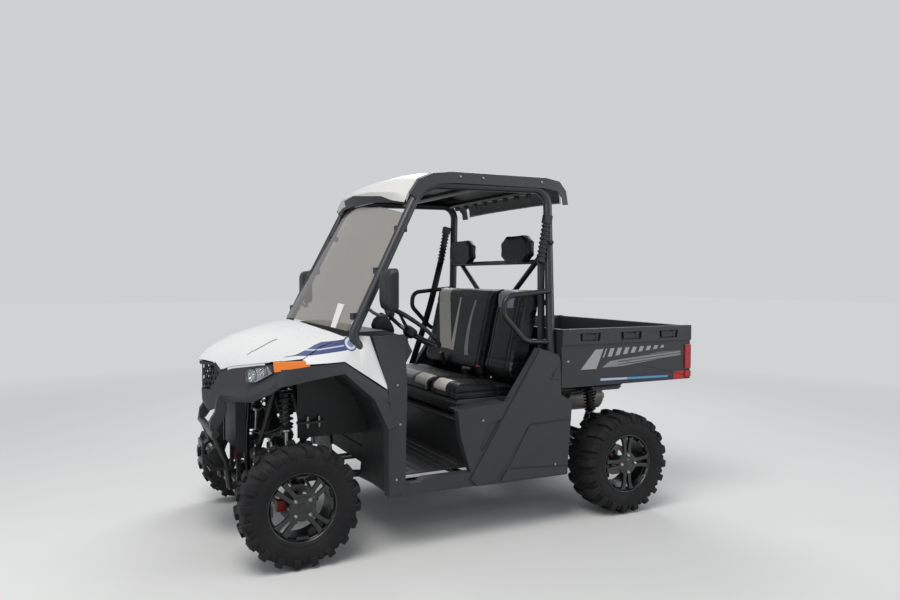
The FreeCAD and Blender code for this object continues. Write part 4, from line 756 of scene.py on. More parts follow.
springs, bodies, rods = Form(), Form(), Form()
for row, (low, high) in SHOCKS.items():
    for sign in SIGNS:
        at, long = along(low, high, sign)
        first, last, turns, coil_radius = long * 0.42, long * 0.865, 6.5, 0.0325
        helix = []
        for k in range(int(turns * 18) + 1):
            share = k / (turns * 18)
            turn = math.tau * turns * share
            helix.append((coil_radius * math.cos(turn), coil_radius * math.sin(turn),
                          first + (last - first) * share))
        springs.pipe(helix, 0.0052, 8, at)
        bodies.dome([(0.020, first - 0.012), (0.034, first - 0.008), (0.037, first - 0.002),
                     (0.028, first + 0.004),
                     (0.021, first + 0.008), (0.021, last - 0.01), (0.034, last + 0.004),
                     (0.036, last + 0.010),
                     (0.024, last + 0.016), (0.016, last + 0.022), (0.014, long - 0.012)], 24, at)
        for z in (0, long):
            bodies.dome([(0.012, -0.017), (0.0165, -0.0155), (0.0165, 0.0155), (0.012, 0.017)], 20,
                        at @ Matrix.Translation((0, 0, z)) @ Matrix.Rotation(math.pi / 2, 4, "Y"))
        rods.dome([(0.0085, 0.014), (0.0085, long * 0.22), (0.0100, long * 0.225), (0.0100, first - 0.014)],
                  20, at)
        rods.dome([(0.018, first - 0.030), (0.0225, first - 0.026), (0.0225, first - 0.016),
                   (0.018, first - 0.012)],
                  24, at)
springs.piece("shock_springs", "frame_black", replaced=["shocks"])
bodies.piece("shock_bodies", "frame_black", 0.0008)
rods.piece("shock_rods", "bare_steel", 0.0008)
print("shocks:", len(SHOCKS) * 2)

# %% [markdown]
# ## Seat vinyl
# The seats are black with pale and silver stripes sewn in. A picture could hold them, but masks worked out
# from where a point lies stay sharp from close by. A fine cell pattern is the grain of the vinyl, and
# stretched noise gives it soft wrinkles.


# %% Seat vinyl with sewn-in panels
def vinyl(name, panels):
    """panels gives masks and colours from the three axes."""
    material, wire, shader = start(name)
    shader.inputs["Specular IOR Level"].default_value = 0.36
    cells = wire.node("TexVoronoi", {"Vector": place_of(wire), "Scale": 520.0}, feature="F1")
    broad = noise(wire, 4.0, 4.0).ramp(0.3, 0.7)
    base = mix(broad, shade(8, 9, 11), shade(14, 15, 18))
    pale = 0.0
    for mask, colour in panels(*spaces(wire)):
        base = mix(mask, base, colour)
        pale = mask + pale
    settled = dust_mask(wire, 0.05)
    connect(mix(settled, base, DUST), shader, "Base Color")
    connect((noise(wire, 26.0, 4.0) - 0.5) * 0.18 + pale * 0.04 + 0.44, shader, "Roughness")
    wrinkles = noise(wire, 38.0, 4.0, 0.6, stretch=(1.0, 0.5, 1.6))
    connect(relief(wire, cells * 0.35 + wrinkles * 0.9, 0.35, 0.0014), shader, "Normal")
    materials[name] = material


WHITE_VINYL, SHADED_WHITE_VINYL, SILVER_VINYL = shade(240, 235, 224), shade(118, 122, 134), shade(168, 168, 172)


def back_panels(x, y, z):
    lean = y - (z - 1.24) * 0.5
    leaning = (x - z * 0.24).below(0.0286)
    front = leaning.larger(z.above(1.30) * x.below(0.36))
    yield band(lean, 0.335, 0.505) * z.above(0.935) * front, WHITE_VINYL
    width = (1.30 - z) * 0.045 + 0.008
    line = (y - 0.178 - (z - 0.93) * 0.05).size()
    yield line.below(width) * band(z, 0.93, 1.275) * front, WHITE_VINYL
    other = (y - 0.005 + (1.10 - z) * (1.10 - z) * 0.9).size()
    yield other.below(width) * band(z, 0.915, 1.262) * front, SILVER_VINYL
    # the top of the near back's white panel is grey-blue: painted shade on white vinyl
    yield band(y, -0.475, -0.285) * z.above(1.228) * x.below(0.370), SHADED_WHITE_VINYL


def cushion_panels(x, y, z):
    edge = x.below(-0.098) * z.above(0.768)
    yield band(y, -0.450, -0.300) * edge, WHITE_VINYL
    yield band(y, -0.205, -0.030) * edge, WHITE_VINYL
    yield band(y, 0.010, 0.250) * edge * z.above(0.785), SILVER_VINYL


vinyl("seat_backs", back_panels)
vinyl("seat_cushions", cushion_panels)
vinyl("headrests", lambda x, y, z: [])
print("vinyl ready")

# %% [markdown]
# ## Stuffing
# Vinyl over foam is tight, crowned and a little rounder than the block it is cut from. Drawing that by hand
# looks stiff, so the blocks are blown up: a copy is remeshed into even squares, shrunk a little, and a cloth
# run with inner pressure and no gravity swells it over 20 frames. No point may move further than a cap, and
# none may pass the base it rests on. Sewn channels are pressed in afterwards, as the remesh would erase them.


# %% Blow up a block
def kept_mesh(item):
    """The item's mesh with all of its modifiers in it."""
    shaped = bpy.data.meshes.new_from_object(item.evaluated_get(bpy.context.evaluated_depsgraph_get()))
    item.modifiers.clear()
    item.data = shaped


def stuff(item, voxel, inset, cap, keep, calming=5):
    """keep takes a point and gives it back inside the room that the piece has."""
    remesh = item.modifiers.new("even", "REMESH")
    remesh.mode = "VOXEL"
    remesh.voxel_size = voxel
    shrink = item.modifiers.new("shrink", "DISPLACE")
    shrink.strength = -inset
    shrink.mid_level = 0
    calm = item.modifiers.new("calm", "SMOOTH")
    calm.iterations = calming
    kept_mesh(item)
    before = [v.co.copy() for v in item.data.vertices]
    cloth = item.modifiers.new("puff", "CLOTH")
    cloth.settings.use_pressure = True
    cloth.settings.uniform_pressure_force = 4.0
    cloth.settings.effector_weights.gravity = 0
    cloth.collision_settings.use_collision = False
    cloth.point_cache.frame_end = 20
    for frame_number in range(1, 21):
        bpy.context.scene.frame_set(frame_number)
    kept_mesh(item)
    for vertex, old in zip(item.data.vertices, before):
        step = vertex.co - old
        if step.length > cap:
            step *= cap / step.length
        vertex.co = keep(old + step)
    bpy.context.scene.frame_set(1)
    item.data.shade_smooth()
    return max((v.co - old).length for v, old in zip(item.data.vertices, before))


def sew(item, seams, depth, width):
    """Presses a groove into the piece wherever a seam's distance is near zero."""
    item.data.update()
    normals = [v.normal.copy() for v in item.data.vertices]
    for vertex, normal in zip(item.data.vertices, normals):
        pull = sum(math.exp(-(seam(vertex.co) / width) ** 2) for seam in seams)
        vertex.co -= normal * depth * min(1.0, pull)
    finer = item.modifiers.new("finer", "SUBSURF")
    finer.levels = finer.render_levels = 1


print("stuffing ready")

# %% Cushions, backs and headrests
CUSHION = [(-0.183, 0.735), (0.222, 0.735), (0.222, 0.785), (0.185, 0.795), (-0.123, 0.819), (-0.169, 0.811),
           (-0.183, 0.785)]
BACK = [(0.231, 0.737), (0.255, 0.737), (0.397, 1.290), (0.385, 1.336), (0.351, 1.352), (0.301, 1.340),
        (0.285, 1.318), (0.183, 0.860), (0.195, 0.824), (0.231, 0.800)]
EIGHT = [(-0.168, -0.044), (-0.100, -0.092), (0.100, -0.092), (0.168, -0.044), (0.168, 0.044), (0.100, 0.092),
         (-0.100, 0.092), (-0.168, 0.044)]
SEATS = {"left": (-0.585, -0.256), "right": (-0.244, 0.585)}
RESTS = {"left": -0.330, "right": 0.380}


SEAT_BASE, BACK_FRONT, BRACE = 0.7352, 0.183, 0.4055


def above_base(point):
    return Vector((point.x, point.y, max(point.z, SEAT_BASE)))


def over_floor(point):
    return Vector((max(point.x, BACK_FRONT), point.y, max(point.z, SEAT_BASE)))


def before_brace(point):
    return Vector((min(point.x, BRACE), point.y, point.z))


def foam(name, rings, node):
    form = Form()
    form.rows(rings)
    return form.piece(name, "seat_vinyl", replaced=[node], finish_name=node)


def across(outline, y0, y1):
    return [[(x, y, z) for x, z in outline] for y in (y0, y1)]


for side_name, (y0, y1) in SEATS.items():
    voxel = 0.0075 if side_name == "left" else 0.0095
    cushion = foam("cushion_" + side_name, across(CUSHION, y0, y1), "seat_cushions")
    moved = stuff(cushion, voxel, 0.007, 0.012, above_base)
    sew(cushion, [lambda p: p.z - 0.768, lambda p, y0=y0: p.y - y0 - 0.075, lambda p, y1=y1: p.y - y1 + 0.075,
                  lambda p: p.x - 0.10], 0.0035, 0.006)
    back = foam("back_" + side_name, across(BACK, y0, y1), "seat_backs")
    stuff(back, voxel, 0.007, 0.012, over_floor)
    sew(back, [lambda p, y0=y0: p.y - y0 - 0.07, lambda p, y1=y1: p.y - y1 + 0.07, lambda p: p.z - 0.925,
               lambda p: p.z - 1.235], 0.0035, 0.006)
    print(side_name, "seat swelled by up to", round(moved * 1000, 1), "mm")
for side_name, y in RESTS.items():
    block = [[(x, y + u, 1.575 + v) for u, v in EIGHT] for x in (0.352, BRACE)]
    rest = foam("headrest_" + side_name, block, "headrests")
    stuff(rest, 0.006, 0.006, 0.006, before_brace, 16)
    sew(rest, [lambda p: p.x - 0.392], 0.001, 0.004)
print("headrests:", len(RESTS))

# %% [markdown]
# ## Soft corners
# Nearly every moulded fitting is an oblong with round corners, and nearly every bent rod is a path with eased
# bends. Two small helpers make both, so that the cells below only say sizes.


# %% Rounded outlines
def rounded(half_width, half_height, corner, steps=5):
    """An oblong with round corners, as (across, up)."""
    spots = []
    for k, (sx, sy) in enumerate(((1, 1), (-1, 1), (-1, -1), (1, -1))):
        for j in range(steps + 1):
            turn = math.pi / 2 * (k + j / steps)
            spots.append((sx * (half_width - corner) + corner * math.cos(turn),
                          sy * (half_height - corner) + corner * math.sin(turn)))
    return spots


def eased(points, steps=6):
    """Corners of a path rounded into smooth bends."""
    spots = [Vector(p) for p in points]
    path = [spots[0]]
    for a, b, c in zip(spots, spots[1:], spots[2:]):
        one, two = a.lerp(b, 0.5) if a is not spots[0] else a.lerp(b, 0.6), b.lerp(c, 0.5)
        path += [one.lerp(b, k / steps).lerp(b.lerp(two, k / steps), k / steps) for k in range(steps + 1)]
    return path + [spots[-1]]


print("an oblong has", len(rounded(1, 1, 0.2)), "points")

# %% [markdown]
# ## Steering wheel
# The grip isn't a plain ring: it swells where thumbs rest and has fine waves for the fingers. A ring whose
# thickness waves with the angle gives both. Three flat spokes sink to the boss, which is a turned outline.

# %% Steering wheel
WHEEL_AT = Vector((-0.310, -0.330, 1.120))
WHEEL_WAY = Vector((math.cos(math.radians(52)), 0, math.sin(math.radians(52))))
wheel_at = Matrix.Translation(WHEEL_AT) @ Z.rotation_difference(WHEEL_WAY).to_matrix().to_4x4()
grip = Form()
rings = []
for k in range(96):
    turn = math.tau * k / 96
    thick = 0.0128 + 0.0014 * math.cos(turn * 2) + 0.0004 * math.cos(turn * 24)
    ring = []
    for j in range(14):
        around = math.tau * j / 14
        out = 0.178 + thick * math.cos(around)
        ring.append((out * math.cos(turn), out * math.sin(turn), thick * math.sin(around)))
    rings.append(ring)
grip.rows(rings, wheel_at, joined=True)
for angle in (90, 210, 330):
    turn = math.radians(angle)
    spoke = []
    for radius, width, high, deep in ((0.020, 0.020, -0.020, 0.014), (0.070, 0.017, -0.017, 0.011),
                                      (0.130, 0.013, -0.006, 0.009), (0.172, 0.016, 0.003, 0.009)):
        spoke.append([(radius * math.cos(turn) - u * width * math.sin(turn),
                       radius * math.sin(turn) + u * width * math.cos(turn), high + v * deep)
                      for u, v in ((-1, -0.3), (-0.6, 0.2), (0.6, 0.2), (1, -0.3), (0.8, -0.8),
                                   (-0.8, -0.8))])
    grip.rows(spoke, wheel_at)
grip.dome([(0.012, -0.110), (0.015, -0.108), (0.015, -0.060), (0.026, -0.056), (0.035, -0.048),
           (0.041, -0.020), (0.040, -0.010), (0.034, -0.004), (0.018, -0.001), (0.003, 0.0)], 40, wheel_at)
grip.piece("wheel_grip", "black_plastic", 0.0008, "steering_wheel", ["steering_wheel"])
print("steering wheel at", WHEEL_AT[:])

# %% [markdown]
# ## Mirrors
# A housing shrinks towards the front in rounded sections, and a bright glass sits a little inside its rear
# opening. A bent rod carries it from the cage.

# %% Mirrors
# sections of a housing: along, scale and lift
HOUSING = [(-0.6570, 0.45, 0.004), (-0.6540, 0.66, 0.003), (-0.6440, 0.86, 0.001), (-0.6250, 0.97, 0),
           (-0.6050, 1.0, 0), (-0.5995, 0.985, 0)]
housings, glass = Form(), Form()
for sign in SIGNS:
    at = face((0, sign * 0.747, 1.342), Y, Z, X)
    opening = rounded(0.067, 0.098, 0.024)
    shell = [[(u * scale, v * scale + lift, x) for u, v in rounded(0.075, 0.106, 0.030)]
             for x, scale, lift in HOUSING]
    housings.rows(shell + [[(u, v, x) for u, v in opening] for x in (-0.5995, -0.6040)], at)
    glass.stack(opening, ((-0.6042, 0.98), (-0.6030, 0.98)), at)
    housings.pipe(eased([(-0.617, sign * 0.748, 1.245), (-0.622, sign * 0.715, 1.207),
                         (-0.660, sign * 0.672, 1.216), (-0.690, sign * 0.630, 1.248)]), 0.0085, 12)
    housings.dome([(0.012, -0.012), (0.016, -0.008), (0.016, 0.008), (0.012, 0.012)], 20,
                  Matrix.Translation((-0.617, sign * 0.748, 1.238)))
housings.piece("mirror_housings", "black_plastic", 0.0012, replaced=["mirrors"])
glass.piece("mirror_glass", "bare_steel", finish_name="mirror_glass")
print("mirrors: 2")

# %% [markdown]
# ## Headlamps
# A lamp is a dark frame, a chromed basin with two bowls, a bulb in each, and a clear cover, so that light
# gets in and comes back. All of them follow the one outline of the lens, scaled and set back.

# %% Headlamps
# corners of the left lens on the face of the front panel
LENS = [(-1.256, -0.392, 0.940), (-1.185, -0.592, 0.978), (-1.169, -0.618, 0.944), (-1.221, -0.474, 0.884),
        (-1.259, -0.396, 0.876)]


def lens_rings(sign, sections):
    """The lens's outline at each (scale, distance behind its face)."""
    spots = [Vector((x, -sign * y, z)) for x, y, z in LENS]
    middle = sum(spots, Vector()) / len(spots)
    return [[middle + (p - middle) * scale + X * back for p in spots] for scale, back in sections]


frames, basins, covers, bulbs = Form(), Form(), Form(), Form()
for sign in SIGNS:
    frames.rows(lens_rings(sign, ((1.0, 0.044), (1.0, 0.001), (0.975, 0.000), (0.95, 0.008), (0.94, 0.030))),
                caps=False)
    basins.rows(lens_rings(sign, ((0.955, 0.014), (0.93, 0.034), (0.60, 0.040), (0.30, 0.042))))
    covers.rows(lens_rings(sign, ((0.975, 0.004), (0.965, 0.0005), (0.70, -0.0015), (0.30, -0.0025))))
    for (x, y, z), size in (((-1.222, 0.445, 0.918), 0.027), ((-1.190, 0.535, 0.944), 0.022)):
        at = aimed((x, sign * y, z), (-1.0, sign * 0.42, 0.05))
        basins.dome([(size * 0.30, -0.010), (size * 0.62, -0.006), (size * 0.86, 0.002), (size, 0.012),
                     (size * 1.06, 0.012), (size * 1.06, 0.006), (size * 0.7, -0.012)], 32, at)
        bulbs.dome([(0.001, 0.010), (size * 0.26, 0.008), (size * 0.42, 0.001), (size * 0.45, -0.006),
                    (0.001, -0.010)], 24, at)
frames.piece("lamp_frames", "black_plastic", 0.0012, replaced=["headlamps"])
basins.piece("lamp_basins", "lamp", 0.0010)
bulbs.piece("lamp_bulbs", "lamp")
covers.piece("lamp_covers", "lamp", 0.0015, finish_name="lamp_cover")
print("headlamps: 2")

# %% [markdown]
# ## Belts
# Each belt leaves its post through a ribbed boot, which is many short slabs of two widths, and runs down as a
# flat strap. Three buckles stand between and beside the seats, and one tongue lies loose on the cushion.


# %% Belts and buckles
# top of each ribbed boot, its lower end, and where the strap goes from there
BELTS = {"left": [(0.404, -0.606, 1.717), (0.366, -0.606, 1.511), (0.374, -0.600, 1.120),
                  (0.378, -0.598, 0.800)],
         "right": [(0.362, 0.606, 1.720), (0.322, 0.606, 1.522), (0.230, 0.600, 1.180),
                   (0.095, 0.600, 0.800)]}
boots, webbing, buckles, buttons = Form(), Form(), Form(), Form()
RIBS = 17
for high, low, *rest in BELTS.values():
    boot = Vector(high) - Vector(low)
    at = aimed(low, boot)
    long = boot.length
    for k in range(RIBS):
        wide = 0.024 if k % 2 else 0.0185
        boots.slab(rounded(wide * 0.8, wide, wide * 0.45), long * k / RIBS, long * (k + 0.92) / RIBS, at)
    for z0, z1, wide in ((long - 0.004, long + 0.045, 0.026), (-0.018, 0.004, 0.020)):
        boots.slab(rounded(wide * 0.7, wide, 0.006), z0, z1, at)
    strap = eased([low, *rest], 8)
    webbing.rows([[(p.x + a * 0.024, p.y + b * 0.0008, p.z) for a, b in ((-1, -1), (1, -1), (1, 1), (-1, 1))]
                  for p in strap])
for y, tip in ((-0.268, 0.880), (0.235, 0.916), (-0.090, 0.850)):
    at = Matrix.Translation((0.170, y, tip - 0.085)) @ Matrix.Rotation(math.radians(-18), 4, "Y")
    buckles.rows([[(u, v, z) for u, v in rounded(w, w * 1.75, 0.004)]
                  for z, w in ((0.000, 0.007), (0.030, 0.007), (0.034, 0.012), (0.078, 0.0125),
                               (0.084, 0.011))], at)
    buttons.slab(rounded(0.0075, 0.015, 0.004), 0.080, 0.0865, at)
tongue = Form()
tongue.slab(rounded(0.012, 0.046, 0.005), 0.838, 0.850, Matrix.Translation((0.158, -0.105, 0)))
boots.piece("belt_boots", "black_plastic", 0.0015)
webbing.piece("belt_webbing", "seat_vinyl", finish_name="webbing")
buckles.piece("buckles", "black_plastic", 0.0015)
buttons.piece("buckle_buttons", "red_lens", 0.0010)
tongue.piece("belt_tongue", "bare_steel", 0.0015)
print("belts:", len(BELTS), "buckles: 3")

# %% [markdown]
# ## Bolts
# One function turns a flanged hexagon, and loops put it on both ends of every arm bushing and shock eye and
# on the panels. All of them are one mesh, because a hundred single objects would slow every later step.


# %% Bolts, nuts and screws
def bolt(form, spot, way, radius=0.009, high=0.006):
    form.dome([(radius * 1.25, 0), (radius * 1.25, 0.0018), (radius * 0.96, 0.0018), (radius * 0.96, high),
               (radius * 0.8, high + 0.001), (0.0008, high + 0.001)], 6, aimed(spot, way))


# arm bushings: along from the axle, across and up
BUSHINGS = {"front": [(-0.115, 0.188, 0.318), (0.150, 0.188, 0.318), (-0.095, 0.205, 0.470),
                      (0.150, 0.205, 0.470)],
            "rear": [(-0.150, 0.188, 0.318), (0.140, 0.188, 0.318), (-0.130, 0.205, 0.455),
                     (0.120, 0.205, 0.455)]}
PANEL_BOLTS = [(0.485, 0.7105, 0.928), (-0.066, 0.7105, 0.640), (0.400, 0.7105, 0.352),
               (-0.545, 0.7065, 0.66), (-0.560, 0.7065, 0.86), (-0.565, 0.7065, 0.38)]
bolts = Form()
for row, spots in BUSHINGS.items():
    for x, y, z in spots:
        for sign in SIGNS:
            for way in SIGNS:
                bolt(bolts, (AXLE_X[row] + x + way * 0.0306, sign * y, z), (way, 0, 0))
for low, high in SHOCKS.values():
    for x, y, z in (low, high):
        for sign in SIGNS:
            for way in SIGNS:
                bolt(bolts, (x + way * 0.0172, -sign * y, z), (way, 0, 0), 0.008)
for sign in SIGNS:
    for x, y, z in PANEL_BOLTS:
        bolt(bolts, (x, sign * y, z), (0, sign, 0), 0.0055, 0.003)
    for x, z in ((-0.16, 1.944), (-0.02, 1.944), (0.36, 1.944)):
        bolt(bolts, (x, sign * 0.6225, z), (0, sign, 0.1), 0.005, 0.003)
bolts.piece("bolt_heads", "bare_steel", 0.0005)
print("bolt heads:", len(bolts.points) // 36)

# %% [markdown]
# ## Bed catches and tailgate handle
# Each niche in the bed's rail holds a raised catch between two tabs. The catches ride on the bed and the
# handle rides on the tailgate, so that they tip and drop with them.

# %% Catches of the bed and handle of the tailgate
catches, handle = Form(), Form()
for sign in SIGNS:
    for middle in (0.649, 0.949, 1.2435):
        at = face((middle, sign * 0.6895, 1.060), X, Z, sign * Y)
        catches.slab(rounded(0.040, 0.015, 0.006), 0, 0.007, at)
        for shift in (-0.046, 0.046):
            at = face((middle + shift, sign * 0.6892, 1.062), X, Z, sign * Y)
            catches.slab(rounded(0.009, 0.019, 0.003), 0, 0.0095, at)
handle.slab(rounded(0.085, 0.028, 0.012), 0, 0.0095, face((1.4202, 0, 0.985), Y, Z, X))
handle.pipe(eased([(1.428, -0.060, 0.972), (1.4335, -0.050, 0.972), (1.4335, 0.050, 0.972),
                   (1.428, 0.060, 0.972)]),
            0.0055, 10)
catches.piece("bed_catches", "black_plastic", 0.0015, "bed")
handle.piece("tailgate_handle", "black_plastic", 0.0015, "tailgate")
print("catches: 6")

# %% [markdown]
# ## Roof clips
# Moulded clips line the roof's rear edge and hang under its two rails. They are small blocks, evenly spaced.

# %% Clips under the roof
clips = Form()
for k in range(8):
    at = Matrix.Translation((0.375, -0.455 + 0.13 * k, 0))
    clips.stack(rounded(0.012, 0.015, 0.004), ((1.896, 1), (1.880, 1), (1.868, 0.6)), at)
for k in range(5):
    for sign in SIGNS:
        at = Matrix.Translation((-0.30 + 0.17 * k, sign * 0.548, 0))
        clips.slab(rounded(0.014, 0.008, 0.003), 1.963, 1.942, at)
clips.piece("roof_clips", "black_plastic", 0.0015)
print("clips: 18")

# %% [markdown]
# ## Dash and pedals
# The dial stands in a turned cowl before the steering wheel. Switches and drawer fronts are thin slabs that
# follow the dash's slope, so their frames are skewed instead of turned. Levers and pedals are bent pipes.

# %% Gauge, shift lever, pedals and switches
# the dash slopes from (-0.405, 1.010) to (-0.445, 1.090) at its rear face
pods, dial, levers, knob, pads = Form(), Form(), Form(), Form(), Form()
gauge_at = aimed((-0.470, -0.330, 1.150), (0.86, 0, 0.50))
pods.dome([(0.040, -0.075), (0.058, -0.050), (0.066, -0.010), (0.068, 0.004), (0.064, 0.008), (0.057, 0.006),
           (0.054, -0.002), (0.001, -0.003)], 40, gauge_at)
dial.dome([(0.0535, -0.0025), (0.0535, -0.0015), (0.030, -0.001), (0.001, -0.001)], 40, gauge_at)
for k in range(4):
    at = face((-0.4178, -0.020 + 0.050 * k, 1.048), Y, Z * 0.9, X - Z * 0.4)
    pods.stack(rounded(0.017, 0.013, 0.003), ((-0.006, 1), (0.006, 1), (0.010, 1)), at)
for y in (0.18, 0.34):
    at = face((-0.4195, y, 1.040), Y, Z * 0.85, X - Z * 0.5)
    pods.slab(rounded(0.062, 0.020, 0.006), -0.008, 0.005, at)
levers.pipe(eased([(-0.452, -0.120, 0.960), (-0.400, -0.120, 1.020), (-0.378, -0.120, 1.110),
                   (-0.360, -0.120, 1.175)]), 0.0075, 12)
levers.slab(rounded(0.028, 0.030, 0.008), -0.03, 0.012, face((-0.425, -0.120, 0.990), Y, X, Z))
knob.dome([(0.009, -0.016), (0.017, -0.010), (0.022, 0.004), (0.022, 0.014), (0.016, 0.024), (0.006, 0.028),
           (0.001, 0.0285)], 24, Matrix.Translation((-0.358, -0.120, 1.180)) @ Matrix.Rotation(0.15, 4, "Y"))
for y, wide in ((-0.300, 0.040), (-0.215, 0.028)):
    levers.pipe(eased([(-0.5595, y, 0.700), (-0.510, y, 0.640), (-0.478, y, 0.530), (-0.4885, y, 0.490)]),
                0.007, 10)
    pads.slab(rounded(wide, 0.034, 0.010), -0.004, 0.006, face((-0.488, y, 0.488), Y, Z - X * 0.25, X))
pods.piece("dash_pods", "black_plastic", 0.0015)
dial.piece("gauge_dial", "black_plastic", finish_name="dial")
levers.piece("levers", "frame_black", 0.0006)
knob.piece("shift_knob", "black_plastic")
pads.piece("pedal_pads", "black_plastic", 0.0015)
print("dash fittings ready")

# %% [markdown]
# ## Brackets and hoses
# A plate with studs and a few thin hoses fill the space over the front arms. Slabs, turned studs and eased
# pipes are enough there, because only their outlines and glints show.

# %% Brackets and hoses over the front arms
STUD = [(0.0085, 0), (0.0085, 0.010), (0.0060, 0.012), (0.0060, 0.022), (0.0040, 0.024)]
brackets, studs, hoses = Form(), Form(), Form()
for sign in SIGNS:
    at = Matrix.Translation((-0.9175, sign * 0.392, 0))
    brackets.slab([(-0.0725, -0.018), (0.0725, -0.018), (0.0725, 0.018), (-0.0725, 0.018)], 0.642, 0.656, at)
    for x in (-0.933, -0.872):
        for z, turn in ((0.656, 0), (0.642, math.pi)):
            at = Matrix.Translation((x, sign * 0.392, z)) @ Matrix.Rotation(turn, 4, "X")
            studs.dome(STUD, 10, at)
    for path in ([(-1.060, 0.386, 0.640), (-1.100, 0.350, 0.612), (-1.150, 0.310, 0.594),
                  (-1.205, 0.250, 0.600)],
                 [(-1.060, 0.386, 0.632), (-1.105, 0.385, 0.600), (-1.135, 0.380, 0.560),
                  (-1.120, 0.360, 0.470)],
                 [(-1.215, 0.300, 0.860), (-1.220, 0.300, 0.730), (-1.228, 0.296, 0.600),
                  (-1.215, 0.230, 0.480)]):
        hoses.pipe(eased([(x, sign * y, z) for x, y, z in path], 8), 0.0035, 8)
brackets.piece("arch_brackets", "frame_black", 0.0015)
studs.piece("bracket_studs", "bare_steel", 0.0005)
hoses.piece("front_hoses", "black_plastic")
print("hoses: 6")

# %% [markdown]
# ## Winch cable
# The cable is one pipe wound as a helix over the drum between its flanges, and a flat woven tab hangs from
# its end in front of the bumper.

# %% Winch cable on its drum
cable = Form()
turns, per_turn = 17, 16
drum_x, drum_z, wound_radius, reach = -1.345, 0.462, 0.0325, 0.116
wound = []
for k in range(turns * per_turn + 1):
    turn = math.tau * k / per_turn
    wound.append((drum_x + wound_radius * math.cos(turn), reach * (k / (turns * per_turn) - 0.5),
                  drum_z + wound_radius * math.sin(turn)))
cable.pipe(wound, 0.0034, 6)
cable.piece("winch_cable", "bare_steel")
tab = Form()
tab.rows([[(x + u * 0.0012, v, z) for u, v in ((-1, -0.012), (1, -0.012), (1, 0.012), (-1, 0.012))]
          for x, z in ((-1.4215, 0.500), (-1.4240, 0.470), (-1.4225, 0.430), (-1.4260, 0.395))])
tab.piece("winch_pull_tab", "seat_vinyl", finish_name="pull_tab")
print("cable turns:", turns)

# %% [markdown]
# ## Ribs, slots and pin
# Pressed ribs stiffen the bed's walls and floor, and a framed slot breaks each cowl post. They are too thin
# for the rigid solids, so they are raised slabs here. The pin goes through the hitch's socket.

# %% Ribs in the bed, slots in the cowl posts and a pin in the hitch
ribs, slots, pin = Form(), Form(), Form()
for k in range(15):
    for sign in SIGNS:
        at = face((0.515 + 0.060 * k, sign * 0.6665, 0.955), X, Z, -sign * Y)
        ribs.slab(rounded(0.016, 0.140, 0.006), 0, 0.006, at)
for k in range(13):
    ribs.slab(rounded(0.430, 0.018, 0.008), 0.7905, 0.7955, Matrix.Translation((0.935, -0.60 + 0.10 * k, 0)))
for sign in SIGNS:
    slots.rows([[(u, v, lift) for u, v in rounded(0.012 * grow, 0.036 * grow, 0.006)]
                for lift, grow in ((0, 1), (0.0035, 1), (0.0035, 0.72), (0.001, 0.68))],
               face((-0.611, sign * 0.7055, 0.745), X, Z, sign * Y))
pin.dome([(0.010, -0.052), (0.010, -0.046), (0.0076, -0.045), (0.0076, 0.040), (0.0125, 0.041),
          (0.0125, 0.050),
          (0.006, 0.052)], 20, Matrix.Translation((1.357, 0, 0.420)) @ Matrix.Rotation(math.pi / 2, 4, "X"))
ribs.piece("bed_ribs", "dark_plastic", 0.0015, "bed")
slots.piece("cowl_slots", "black_plastic", 0.0010)
pin.piece("hitch_pin", "bare_steel", 0.0008)
print("ribs, slots and pin ready")

# %% [markdown]
# ## Floor, backdrop and light
# The floor is pale where the camera, a mirror or a glass sees it, but throws little light upward, so that the
# dark underside stays dark. Far out it fades into the backdrop. Light comes from four large soft lamps: a key
# high on the left, a fill from ahead, one high behind the far side and a low one off the left rear. Each is
# broad, as a cloudy sky would be.


# %% The stage
BACKDROP, BLACK = shade(206, 208, 210), (0, 0, 0, 1)
FLOOR_HALF = 40
CAMERA_RAY, GLOSSY_RAY, TRANSMISSION_RAY = 0, 3, 4


def ray(wire, kind):
    return wire.node("LightPath", out=kind)


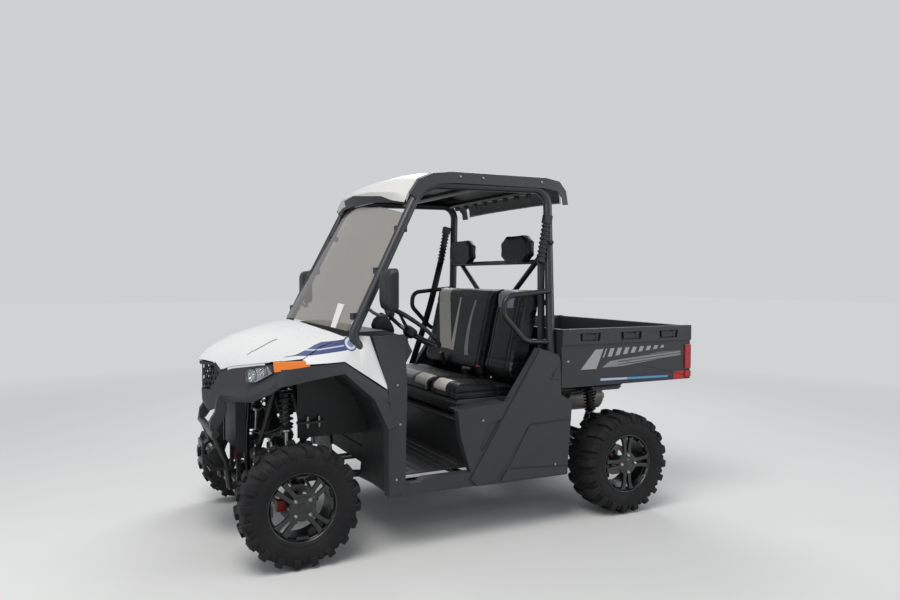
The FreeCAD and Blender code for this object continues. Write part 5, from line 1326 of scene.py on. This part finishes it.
def pale(name, seen, cast):
    """seen is what a camera or a mirror gets, cast is what the floor throws back as light."""
    material, wire, shader = start(name)
    shader.inputs["Roughness"].default_value = 0.9
    shader.inputs["Specular IOR Level"].default_value = 0.1
    looked_at = ray(wire, CAMERA_RAY).larger(ray(wire, GLOSSY_RAY))
    mottle = noise(wire, 2.0, 5.0).ramp(0.2, 0.8)
    near = mix(mottle, scaled(seen, 0.97), seen)
    x, y, _ = spaces(wire)
    away = (x * x + y * y).root().ramp(2.2, 8.0)
    connect(mix(away, mix(looked_at, cast, near), BLACK), shader, "Base Color")
    connect(mix(away * looked_at, BLACK, BACKDROP), shader, "Emission Color")
    shader.inputs["Emission Strength"].default_value = 1.0
    return material


def floor_mesh(half):
    mesh = bpy.data.meshes.new("floor")
    mesh.from_pydata([(-half, -half, 0), (half, -half, 0), (half, half, 0), (-half, half, 0)], [],
                     [(0, 1, 2, 3)])
    mesh.materials.append(pale("floor_pale", shade(226, 226, 224), shade(150, 150, 150)))
    item = bpy.data.objects.new("floor", mesh)
    bpy.context.scene.collection.objects.link(item)
    return item


floor_mesh(FLOOR_HALF)


def soft_lamp(name, place, aim, size, power, tint=(1, 1, 1)):
    lamp = bpy.data.lights.new(name, "AREA")
    lamp.shape = "RECTANGLE"
    lamp.size, lamp.size_y = size
    lamp.energy = power
    lamp.color = tint
    item = bpy.data.objects.new(name, lamp)
    bpy.context.scene.collection.objects.link(item)
    item.location = place
    item.rotation_euler = (Vector(aim) - Vector(place)).to_track_quat("-Z", "Y").to_euler()


soft_lamp("key", (-2.6, -2.4, 5.6), (0, 0, 0.7), (3.6, 3.0), 215, (1.0, 0.98, 0.95))
soft_lamp("fill", (-6.5, -2.5, 2.6), (-0.5, 0, 0.8), (4.0, 3.0), 62, (0.95, 0.97, 1.0))
soft_lamp("back", (3.0, 4.5, 5.0), (0, 0, 1.0), (4.0, 3.0), 190)
soft_lamp("side", (4.8, -4.6, 2.4), (0.3, 0, 0.8), (3.0, 2.5), 75)


def sky():
    world = bpy.data.worlds.new("sky")
    bpy.context.scene.world = world
    world.use_nodes = True
    wire = Wire(world.node_tree)
    base = world.node_tree.nodes["Background"]
    rays = ray(wire, CAMERA_RAY).larger(ray(wire, TRANSMISSION_RAY))
    lit = mix(ray(wire, GLOSSY_RAY), (0.36, 0.38, 0.41, 1), (0.44, 0.46, 0.49, 1))
    connect(mix(rays, lit, BACKDROP), base, "Color")
    base.inputs["Strength"].default_value = 1.0


sky()
bpy.context.scene.view_settings.view_transform = "Standard"
